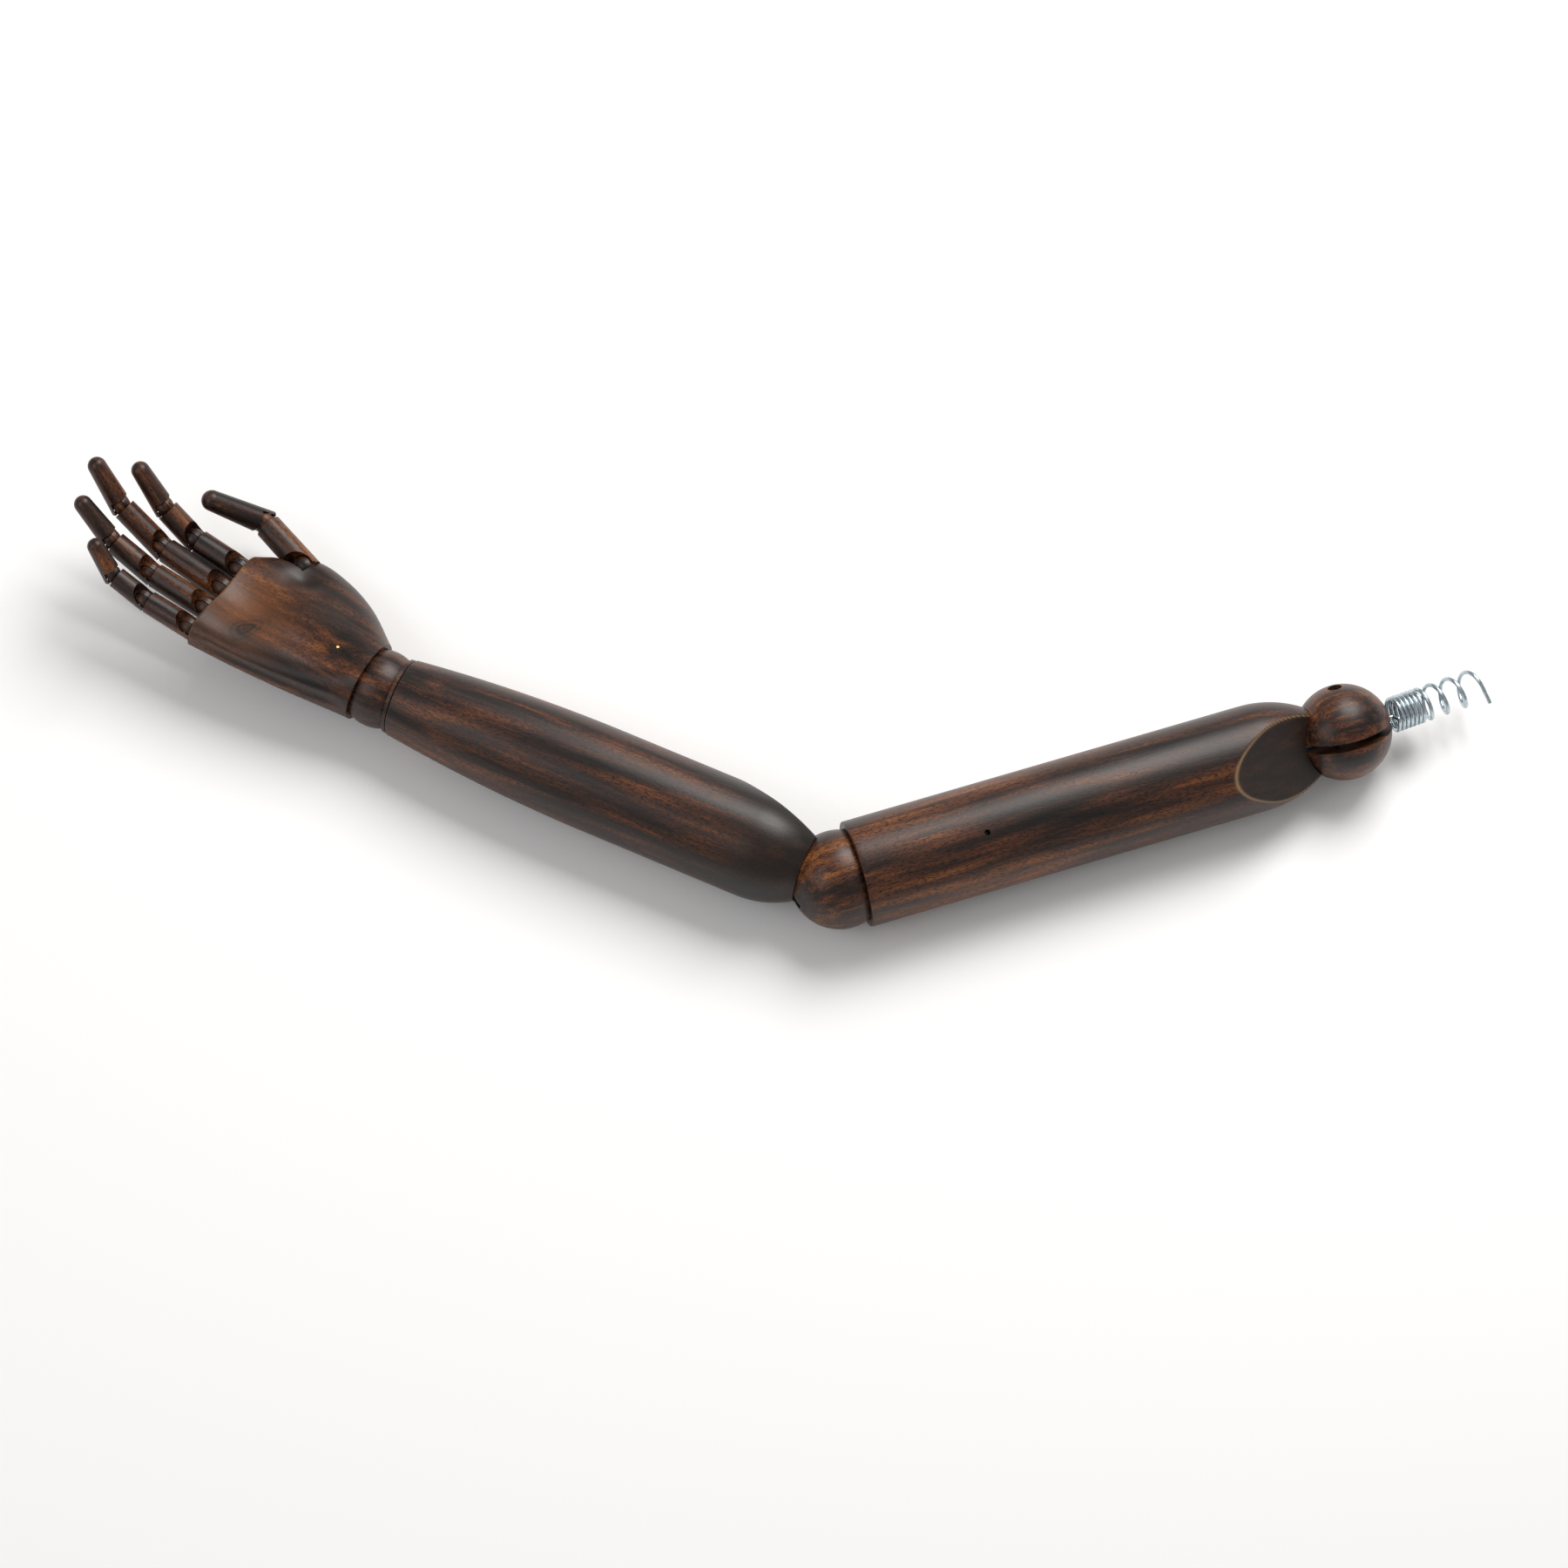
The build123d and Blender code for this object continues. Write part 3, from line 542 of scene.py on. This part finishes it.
def cup_band(centre, radius, rim, inner, facing, count=CUP_ROWS):
    """Rings on a sphere from its rim in to a smaller ring: (R sin p, centre + facing R cos p)."""
    start, stop = np.arcsin(np.clip(rim / radius, 0, 1)), math.asin(inner / radius)
    polar = start + np.linspace(0, 1, count)[:, None] * (stop - start)
    return radius * np.sin(polar), centre + facing * radius * np.cos(polar)


def edge_band(radius, height, facing, size=EDGE, count=EDGE_ROWS):
    """A rounded outer edge: a quarter circle between an end face and the limb's side."""
    turn = np.linspace(0, math.pi / 2, count)[:, None]
    return radius - size + size * np.sin(turn), height + facing * size * (1 - np.cos(turn))


def upper_arm_radii(angles, height):
    """The turned profile and the distance out to the two flats."""
    profile = rounded_taper(
        height, UPPER_END - SHOULDER_TAPER, UPPER_RADIUS, UPPER_RADIUS - SHOULDER_RADIUS, SHOULDER_TAPER
    )
    lean = (UPPER_RADIUS - FLAT_OFFSET) / FLAT_LENGTH
    return profile, flat_distance(angles, height, FLAT_OFFSET, UPPER_END, lean, 2)


def painted_edge_highlight(profile, flats):
    """A painted highlight: 1 along the edge between the turned profile and a flat, fading over RIM_WIDTH to each
    side.
    """
    return np.exp(-(((profile - flats - RIM_CENTRE) / RIM_WIDTH) ** 2))


def column(values):
    """Values as one column, so that each makes a ring."""
    return np.asarray(values, float)[:, None]


DOWEL_RADIUS, DOWEL_DEPTH = 1.4, 5.0
BORE_DEPTH = {"elbow": 118.0, "shoulder": 86.0}
FLAT_ROWS_FROM = 215  # the rim is looked for only near the flats
SHOULDER_SHADE = (235, 268)  # painted shade darkens the limb towards the shoulder between these heights
FACET_EDGE = (-0.1, 0.7)  # profile beyond the flat, in mm, over which the flat's dark stain begins
RIM_CENTRE, RIM_WIDTH = 0.2, 0.42

upper_holes = [
    (math.radians(66), 80.0, DOWEL_RADIUS), (math.radians(340), UPPER_LENGTH - 52.0, DOWEL_RADIUS)
]
turns = angles_with(upper_holes, 240, UPPER_RADIUS)
scooped = crossing(
    lambda z: smooth_least(*upper_arm_radii(turns, z), EDGE), UPPER_LENGTH, SHOULDER_CUP,
    np.full(len(turns), UPPER_END - 60.0), np.full(len(turns), UPPER_END),
)
plain_heights = [np.linspace(UPPER_START + EDGE, 76, 24), np.linspace(76.4, 83.6, 25), np.linspace(86, 200, 36)]
plain_rows = column(np.concatenate(plain_heights))
end_rows = 200 + column(np.linspace(0.01, 1, 110)) * (scooped - 200)
outer_rows = np.concatenate([np.broadcast_to(plain_rows, (len(plain_rows), len(turns))), end_rows])
profile, flats = upper_arm_radii(turns, outer_rows)
outline = smooth_least(profile, flats, EDGE)
hole = np.maximum.reduce([hole_mark(turns, outer_rows, UPPER_RADIUS, *place) for place in upper_holes])
shoulder_rim = np.sqrt(np.maximum(SHOULDER_CUP**2 - (UPPER_LENGTH - scooped) ** 2, 0))
elbow_rim = math.sqrt(ELBOW_CUP**2 - UPPER_START**2)
bands = [
    (0.0, BORE_DEPTH["elbow"]), (BORE, BORE_DEPTH["elbow"]), (BORE, math.sqrt(ELBOW_CUP**2 - BORE**2)),
    tuple(band[::-1] for band in cup_band(0.0, ELBOW_CUP, elbow_rim, BORE, 1)),
    edge_band(UPPER_RADIUS, UPPER_START, 1),
    (outline - DOWEL_DEPTH * hole, outer_rows),
    cup_band(UPPER_LENGTH, SHOULDER_CUP, np.minimum(shoulder_rim, outline[-1]), BORE, -1),
    (BORE, UPPER_LENGTH - BORE_DEPTH["shoulder"]), (0.0, UPPER_LENGTH - BORE_DEPTH["shoulder"]),
]
radius_rows, height_rows = stacked(turns, *bands)
first_outer = 3 + CUP_ROWS + EDGE_ROWS
marks = {name: np.zeros_like(radius_rows) for name in ("facet", "rim", "shade")}
span = slice(first_outer, first_outer + len(outer_rows))
marks["facet"][span] = smooth_step(profile - flats, *FACET_EDGE)
# rim: a pale painted highlight along the edges of the flats near the shoulder
marks["rim"][span] = painted_edge_highlight(profile, flats) * (outer_rows > FLAT_ROWS_FROM)
# shade: painted shade in the dowel holes and towards the shoulder, and full in the cups and bores
marks["shade"][span] = np.maximum(hole, 0.5 * smooth_step(outer_rows, *SHOULDER_SHADE))
marks["shade"][first_outer + len(outer_rows) :] = 1.0
marks["shade"][: 3 + CUP_ROWS] = 1.0
rolled = (elbow, places["shoulder"][1])
upper_arm = make_piece(
    "upper_arm_turned", [ring_points(radius_rows, height_rows, turns)], rolled, "upper_arm",
    woods["upper_arm"], {name: [grid] for name, grid in marks.items()},
)
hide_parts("upper_arm")

# %% [markdown]
# ## The forearm
# The forearm swells below the elbow and tapers all the way to the wrist, so its profile is two long
# arcs with a straight run between them. One flat on the inner side lets the elbow fold, and the
# heel is scooped to the elbow ball, so here each angle's first row is found instead of its last.

# %% Forearm: profile, flat and heel
FOREARM_LENGTH = 263.0
FOREARM_RADIUS = 29.5
WRIST_RADIUS = 22.0
HEEL_RADIUS = 20.2
BELLY_START = 50.0
BELLY_END = 140.0
FOREARM_FLAT_OFFSET = 11.0
FOREARM_FLAT_END = 78.0
HEEL = math.sqrt(ELBOW_CUP**2 - HEEL_RADIUS**2)


def forearm_radii(angles, height):
    """The heel's arc up to the belly, the wrist's arc beyond it, and the distance out to the flat."""
    heel_drop, wrist_drop = FOREARM_RADIUS - HEEL_RADIUS, FOREARM_RADIUS - WRIST_RADIUS
    heel = rounded_taper(-height, -BELLY_START, FOREARM_RADIUS, heel_drop, BELLY_START - HEEL)
    taper = rounded_taper(height, BELLY_END, FOREARM_RADIUS, wrist_drop, FOREARM_LENGTH - BELLY_END)
    lean = (FOREARM_RADIUS - FOREARM_FLAT_OFFSET) / (FOREARM_FLAT_END - HEEL)
    return np.minimum(heel, taper), flat_distance(angles, height, FOREARM_FLAT_OFFSET, HEEL, -lean, 1)


HEEL_ROWS_TO = 90  # rows follow the scooped heel up to this height, and are level beyond it
HEEL_SHADE = (42, 74)
STRAIGHT_ROWS = 70
BORE_END = 196.0
turns = np.linspace(0, FULL_TURN, 256, endpoint=False)
heel_start = -crossing(
    lambda z: smooth_least(*forearm_radii(turns, -z), EDGE), 0.0, ELBOW_CUP,
    np.full(len(turns), -60.0), np.full(len(turns), -HEEL),
)
heel_rows = heel_start + column(np.linspace(0, 0.99, 90)) * (HEEL_ROWS_TO - heel_start)
straight_rows = column(np.linspace(HEEL_ROWS_TO, FOREARM_LENGTH - EDGE, STRAIGHT_ROWS))
outer_rows = np.concatenate([heel_rows, np.broadcast_to(straight_rows, (STRAIGHT_ROWS, len(turns)))])
profile, flats = forearm_radii(turns, outer_rows)
outline = smooth_least(profile, flats, EDGE)
heel_cup = cup_band(0.0, ELBOW_CUP, outline[0], 0.01, 1)
end_radius, end_height = edge_band(WRIST_RADIUS, FOREARM_LENGTH, -1)
bands = [
    tuple(band[::-1] for band in heel_cup),
    (outline, outer_rows),
    (end_radius[::-1], end_height[::-1]),
    (BORE, FOREARM_LENGTH), (BORE, BORE_END), (0.0, BORE_END),
]
radius_rows, height_rows = stacked(turns, *bands)
marks = {name: np.zeros_like(radius_rows) for name in ("facet", "rim", "shade")}
span = slice(CUP_ROWS, CUP_ROWS + len(outer_rows))
marks["facet"][span] = smooth_step(profile - flats, *FACET_EDGE)
# rim: a fainter painted highlight along the flat's edge near the heel
marks["rim"][span] = 0.3 * painted_edge_highlight(profile, flats) * (outer_rows < HEEL_ROWS_TO)
# shade: painted shade on the heel next to the elbow ball, and full in its cup
marks["shade"][span] = 1 - smooth_step(outer_rows, *HEEL_SHADE)
marks["shade"][:CUP_ROWS] = 1.0
forearm = make_piece(
    "forearm_turned", [ring_points(radius_rows, height_rows, turns)], places["forearm"], "forearm",
    woods["forearm"], {name: [grid] for name, grid in marks.items()},
)
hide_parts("forearm")

# %% [markdown]
# ## The palm
# The palm is carved by hand from one block. Its sections are superellipses, between an ellipse and
# a rounded rectangle: x = a |cos t|^(2/n), y = b |sin t|^(2/n), and the width a, the thickness b
# and the squareness n change along the hand. The face is hollowed by taking smooth hills off it,
# which leaves a rounded ridge on the little finger's side and a mound at the thumb's root.

# %% Palm: sections and hollows
PALM_START, PALM_END = 8.0, 104.0
WRIST_CUP = 22.0 + CUP_GAP
SECTION_HEIGHTS = np.array([8.0, 30.1, 52.2, 74.2, 104.0])
THUMB_EDGES = np.array([23.2, 39.5, 48.5, 50.5, 32.0])
LITTLE_EDGES = np.array([23.2, 28.0, 31.5, 34.0, 35.5])
THICKNESSES = np.array([46.4, 40.0, 35.0, 30.0, 26.0])
SQUARENESS = np.array([2.0, 2.2, 2.4, 2.6, 3.0])
HOLLOWS = (  # depth, centre x, centre z, half-width in x and in z, in mm
    (7.2, 1.0, 88.0, 20.0, 27.0),
    (5.6, 6.0, 44.0, 11.0, 24.0),
    (3.6, -29.0, 70.0, 8.0, 11.0),
)
GROOVE_DEPTH, GROOVE_CENTRE, GROOVE_HALF = 1.5, 1.5, 3.2


def through(height, knots, values):
    """A cubic in each span that takes the values at the knots, with the mean slope beside each knot."""
    slopes = np.gradient(values, knots)
    first = np.clip(np.searchsorted(knots, height) - 1, 0, len(knots) - 2)
    span = knots[first + 1] - knots[first]
    t = (height - knots[first]) / span
    start = values[first] * (1 + 2 * t) * (1 - t) ** 2 + slopes[first] * span * t * (1 - t) ** 2
    return start + values[first + 1] * t * t * (3 - 2 * t) + slopes[first + 1] * span * t * t * (t - 1)


def hill(across, along, centre_x, centre_z, half_x, half_z):
    """A smooth hill of height 1: exp(-((x - a)/p)^2 - ((z - b)/q)^2)."""
    return np.exp(-(((across - centre_x) / half_x) ** 2) - ((along - centre_z) / half_z) ** 2)


def signed_power(value, power):
    """|v|^p with the sign of v."""
    return np.sign(value) * np.abs(value) ** power


def palm_points(turn, height):
    """Superellipse sections with the hollows taken off the face and a groove below the outer ridge."""
    thumb_edge = through(height, SECTION_HEIGHTS, THUMB_EDGES)
    little_edge = through(height, SECTION_HEIGHTS, LITTLE_EDGES)
    power = 2 / through(height, SECTION_HEIGHTS, SQUARENESS)
    across = (little_edge - thumb_edge) / 2 + (little_edge + thumb_edge) / 2 * signed_power(np.cos(turn), power)
    out = through(height, SECTION_HEIGHTS, THICKNESSES) / 2 * signed_power(np.sin(turn), power)
    settle = smooth_step(height, PALM_START, PALM_START + 14)
    depth = sum(deep * hill(across, height, *rest) for deep, *rest in HOLLOWS)
    out = out - settle * depth * smooth_step(out, 0, 8)
    groove = GROOVE_DEPTH * np.exp(-(((out - GROOVE_CENTRE) / GROOVE_HALF) ** 2)) * smooth_step(across, 8, 20)
    across = across - groove * settle * (1 - smooth_step(height, 88, 102))
    return np.stack(np.broadcast_arrays(across, out, height), axis=-1)


turns = np.linspace(0, FULL_TURN, 220, endpoint=False)
heights = column(np.linspace(PALM_START, PALM_END - 0.6, 150))
cup_rim = math.sqrt(WRIST_CUP**2 - PALM_START**2)
cup_reach, cup_height = cup_band(0.0, WRIST_CUP, cup_rim, 0.01, 1, 16)
cup = ring_points(*stacked(turns, (cup_reach[::-1], cup_height[::-1])), turns)
side = palm_points(turns, heights)
middle = side[-1:].mean(axis=1, keepdims=True)
knuckle_face = np.concatenate([middle + share * (side[-1:] - middle) for share in (0.975, 0.5, 0.0)])
knuckle_face[..., 2] = PALM_END
palm_grid = np.concatenate([cup, side, knuckle_face])
palm = make_piece("palm_carved", [palm_grid], places["palm"], "hand", woods["palm"])

# %% [markdown]
# The thumb sits in a notch sawn into the palm's corner. A Boolean is the plain way to saw: one box
# leaves the seat under the thumb, and a second, leaning box leaves the room that it closes into.

# %% The thumb's seat
KNUCKLE_RADII = {"index": 7.4, "middle": 7.4, "ring": 7.2, "little": 6.6, "thumb": 7.9}
SEAT_SHARE = 0.52
THUMB_CLOSE = 8.0
THUMB_ROOM = KNUCKLE_RADII["thumb"] + 0.8


def box_mesh(low, high, place):
    """A box between two corners, in mm in a place's frame."""
    corners = np.array([[x, y, z] for x, y, z in itertools.product(*zip(low, high))])
    faces = [(0, 1, 3, 2), (4, 6, 7, 5), (0, 4, 5, 1), (2, 3, 7, 6), (0, 2, 6, 4), (1, 5, 7, 3)]
    mesh = bpy.data.meshes.new("saw")
    mesh.from_pydata(place[0] + MM * corners @ place[1].T, [], faces)
    return mesh


def saw_away(piece, saw_mesh):
    """Takes a box's volume off a piece with an exact Boolean, then removes the box."""
    saw = bpy.data.objects.new("saw", saw_mesh)
    bpy.context.scene.collection.objects.link(saw)
    modifier = piece.modifiers.new("saw", "BOOLEAN")
    modifier.object, modifier.operation, modifier.solver = saw, "DIFFERENCE", "EXACT"
    depsgraph = bpy.context.evaluated_depsgraph_get()
    sawn = bpy.data.meshes.new_from_object(piece.evaluated_get(depsgraph))
    piece.modifiers.clear()
    piece.data = sawn
    bpy.data.objects.remove(saw)


thumb_origin, thumb_axes = places["thumb_proximal"]
for lean, seat in ((0.0, -SEAT_SHARE * KNUCKLE_RADII["thumb"]), (THUMB_CLOSE, 0.0)):
    leaning = thumb_axes @ np.array(Matrix.Rotation(-math.radians(lean), 3, "X"))
    low, high = (-3 * THUMB_ROOM, -3 * THUMB_ROOM, seat), (THUMB_ROOM, THUMB_ROOM, seat + 96)
    saw_away(palm, box_mesh(low, high, (thumb_origin, leaning)))
print("palm with its seat:", len(palm.data.polygons), "faces")

# %% [markdown]
# Each knuckle is a ball turned about its hinge, with a thin fin round its middle that runs in the
# slot on the back of the finger and keeps it from twisting.

# %% Knuckles
KNOB_SHARE, FIN_SHARE, FIN_HALF, FIN_GAP = 0.86, 0.93, 0.26, 0.3
KNOB_SIDE_ROWS, KNOB_COLUMNS = 14, 40


def knob_points(radius):
    """Rings about x: the ball's sqrt(R^2 - x^2), and the fin's radius in the middle."""
    ball, fin, half = KNOB_SHARE * radius, FIN_SHARE * radius, FIN_HALF * radius - FIN_GAP
    side = half + (ball - half) * (1 - np.cos(np.linspace(0, math.pi / 2, KNOB_SIDE_ROWS)))
    across = np.concatenate([-side[::-1], [-half, half], side])
    reach = np.sqrt(np.maximum(ball**2 - across**2, 0))
    reach[len(side) : len(side) + 2] = fin
    turn = np.linspace(0, FULL_TURN, KNOB_COLUMNS, endpoint=False)
    rings = ring_points(column(reach), column(across), turn)
    return rings[..., [2, 0, 1]]


palm_shell = bmesh.new()
palm_shell.from_mesh(palm.data)
for finger, radius in KNUCKLE_RADII.items():
    origin, axes = places[f"{finger}_proximal"]
    knob = knob_points(radius)
    mesh = bpy.data.meshes.new("knob")
    mesh.from_pydata(origin + MM * knob.reshape(-1, 3) @ axes.T, [], grid_faces(len(knob), KNOB_COLUMNS))
    palm_shell.from_mesh(mesh)
palm_shell.to_mesh(palm.data)
palm_shell.free()
close_mesh(palm.data, 34.0)
print("knuckles:", len(KNUCKLE_RADII))

# %% [markdown]
# The palm's marks are functions of each vertex's place in the palm's frame: a dark knot in the
# wood with rings round it, stain wiped thin below the fingers, and darker knuckle balls; and painted
# light: painted shade in the pocket beside the thumb, on the back of the hand and on the mound at the
# thumb's root, which is painted darker and greyer, with a painted highlight along the knuckle face's edge.

# %% Marks on the palm
KNOT_X, KNOT_Z = 17.0, 79.0
KNOT_LONG, KNOT_SHORT = 10.0, 5.6
KNOT_TILT = math.radians(20)
POCKET = (-31, 76, 10, 14)
THIN_STAIN = (6, 84, 24, 22)
MOUND = (-15, 50, 13, 20)

count = len(palm.data.vertices)
flat_points = np.empty(3 * count, np.float32)
palm.data.vertices.foreach_get("co", flat_points)
palm_origin, palm_axes = places["palm"]
x, y, z = ((flat_points.reshape(-1, 3) - palm_origin) @ palm_axes / MM).T
tilted = (np.cos(KNOT_TILT) * (x - KNOT_X) + np.sin(KNOT_TILT) * (z - KNOT_Z)) / KNOT_LONG
square_on = (np.cos(KNOT_TILT) * (z - KNOT_Z) - np.sin(KNOT_TILT) * (x - KNOT_X)) / KNOT_SHORT
knot_reach = np.hypot(tilted, square_on) + 0.08 * np.sin(3 * np.arctan2(square_on, tilted) + 1.0)
knot_rings = 0.72 + 0.28 * np.cos(2 * FULL_TURN * knot_reach)
knot = np.exp(-(knot_reach**2) * 0.8) * knot_rings * (y > 2)
# pocket: painted shade beside the thumb
pocket = hill(x, z, *POCKET) * (y > 0)
knobs_beyond, back_of_hand = z > PALM_END + 0.2, smooth_step(-y, 2, 14)
palm_marks = {
    # shade: the wood's dark knot, darker knuckle balls, and painted shade in the pocket and on the back of the
    # hand
    "shade": np.clip(1.2 * knot + 0.85 * pocket + 0.7 * knobs_beyond + 0.75 * back_of_hand, 0, 1),
    "warm": hill(x, z, *THIN_STAIN) * (y > 2) * (1 - knot),
    # facet: painted shade, the flat's dark colour laid on the mound at the thumb's root
    "facet": 0.75 * hill(x, z, *MOUND) * (y > 2),
    # rim: a painted highlight along the knuckle face's edge
    "rim": 0.30 * np.exp(-(((z - PALM_END + 0.4) / 0.35) ** 2)) * (y > 0),
}
for name, values in palm_marks.items():
    layer = palm.data.attributes.get(name) or palm.data.attributes.new(name, "FLOAT", "POINT")
    layer.data.foreach_set("value", values.astype(np.float32))
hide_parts("palm")
print("palm vertices:", count)

# %% [markdown]
# ## The shoulder spring
# Spring wire is a circle carried along a path. The coils are a helix whose pitch grows from wire
# against wire to wide open, because the free end has been pulled; the tail leaves it straight.
# The rings only need a direction that is never along the wire: the coil's own axis will do for
# the coils, and the hinge pin's for the hook.

# %% Shoulder spring
WIRE = 1.15
COIL = 8.9
COIL_START = 30.0
CLOSE_TURNS, CLOSE_PITCH = 6.5, 2.45
OPEN_TURNS, OPEN_PITCH = 3.5, 10.5
TAIL = 8.8
HOOK_X = 4.8 / 2 - 0.3 - WIRE  # beside the slot's wall
HOOK_RADIUS = 4.0 + 0.06 + WIRE + 0.1  # round the hinge pin
LEG_END = COIL_START - 3.5 / 2


def tube_points(path, reference, radius, count=14):
    """Rings of radius r round a path: p + r (n cos t + b sin t), n square to the path and reference."""
    along = np.gradient(path, axis=0)
    along /= np.linalg.norm(along, axis=1, keepdims=True)
    normal = np.cross(along, reference)
    normal /= np.linalg.norm(normal, axis=1, keepdims=True)
    binormal = np.cross(along, normal)
    turn = np.linspace(0, FULL_TURN, count, endpoint=False)[None, :, None]
    spokes = normal[:, None, :] * np.cos(turn) + binormal[:, None, :] * np.sin(turn)
    first, last = (np.broadcast_to(end, (1, count, 3)) for end in (path[0], path[-1]))
    return np.concatenate([first, path[:, None, :] + radius * spokes, last])


wound = np.linspace(0, CLOSE_TURNS + OPEN_TURNS, 420)
opening = smooth_step(wound, CLOSE_TURNS - 0.5, CLOSE_TURNS + 1.3)
pitch = CLOSE_PITCH + opening * (OPEN_PITCH - CLOSE_PITCH) * (0.82 + 0.10 * (wound - CLOSE_TURNS))
climb = np.concatenate([[0], np.cumsum((pitch[1:] + pitch[:-1]) / 2 * np.diff(wound))])
climb *= (CLOSE_TURNS * CLOSE_PITCH + OPEN_TURNS * OPEN_PITCH) / climb[-1]
turned = FULL_TURN * wound + math.pi / 2
coil = np.stack([COIL * np.cos(turned), COIL * np.sin(turned), COIL_START + climb], axis=-1)
exit_way = unit(coil[-1] - coil[-2])
tail = coil[-1] + np.linspace(1.3, TAIL, 7)[:, None] * exit_way
leg_y = HOOK_RADIUS - WIRE / 3
leg_top = np.array([HOOK_X, leg_y, LEG_END])
bridge = leg_top + np.linspace(0, 0.97, 8)[:, None] * (coil[0] - leg_top)
bend = np.linspace(math.radians(-200), 0, 44)
hook = np.stack([np.full(44, HOOK_X), HOOK_RADIUS * np.cos(bend), HOOK_RADIUS * np.sin(bend)], axis=-1)
leg = np.stack([np.full(24, HOOK_X), np.full(24, HOOK_RADIUS), np.linspace(0.3, LEG_END, 24)], axis=-1)
leg[:, 1] -= smooth_step(leg[:, 2], 2, 8) * WIRE / 3
grids = [
    tube_points(np.concatenate([bridge, coil, tail]), [0.0, 0.0, 1.0], WIRE),
    tube_points(np.concatenate([hook, leg]), [1.0, 0.0, 0.0], WIRE),
]
spring = make_piece(
    "shoulder_spring_wire", grids, places["spring"], "shoulder_spring", zinc, sharp=60
)
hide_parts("shoulder_spring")

# %% [markdown]
# ## Floor and light
# A white sweep and one large soft light, high behind the elbow's inner side, give the limbs a
# broad highlight along their far edge and a soft shadow on the near side. The bright surround
# fills the shadows.

# %% Floor and lights
FLOOR_HALF = 4.0
floor_corners = FLOOR_HALF * np.array([(-1, -1, 0), (1, -1, 0), (1, 1, 0), (-1, 1, 0)])
floor_mesh = bpy.data.meshes.new("floor")
floor_mesh.from_pydata(floor_corners, [], [(0, 1, 2, 3)])
floor = bpy.data.objects.new("floor", floor_mesh)
floor_paint, floor_tree = new_material("white_paper_sweep")
floor_shader = add_node(
    floor_tree, "ShaderNodeBsdfPrincipled", None, {"Base Color": (0.92, 0.92, 0.92, 1), "Roughness": 0.9}
)
add_node(floor_tree, "ShaderNodeOutputMaterial", None, None, {"Surface": floor_shader.outputs["BSDF"]})
floor_mesh.materials.append(floor_paint)
bpy.context.scene.collection.objects.link(floor)

world = bpy.data.worlds.new("studio")
world.use_nodes = True
world.node_tree.nodes["Background"].inputs["Color"].default_value = (1.0, 0.985, 0.97, 1)
world.node_tree.nodes["Background"].inputs["Strength"].default_value = 0.42
bpy.context.scene.world = world


def soft_light(name, place, aim, size, power, tint):
    """A square area light at a place, facing an aim point."""
    light = bpy.data.lights.new(name, "AREA")
    light.size = size
    light.energy = power
    light.color = tint
    lamp = bpy.data.objects.new(name, light)
    lamp.location = place
    lamp.rotation_mode = "QUATERNION"
    lamp.rotation_quaternion = (Vector(aim) - Vector(place)).to_track_quat("-Z", "Y")
    bpy.context.scene.collection.objects.link(lamp)


soft_light("key", (0.55, 0.95, 1.5), (0, 0, 0), 1.1, 34.0, (1.0, 0.98, 0.96))
soft_light("fill", (-1.3, -0.6, 1.4), (0, 0, 0), 1.2, 7.0, (0.97, 0.98, 1.0))
bpy.context.scene.view_settings.view_transform = "Standard"
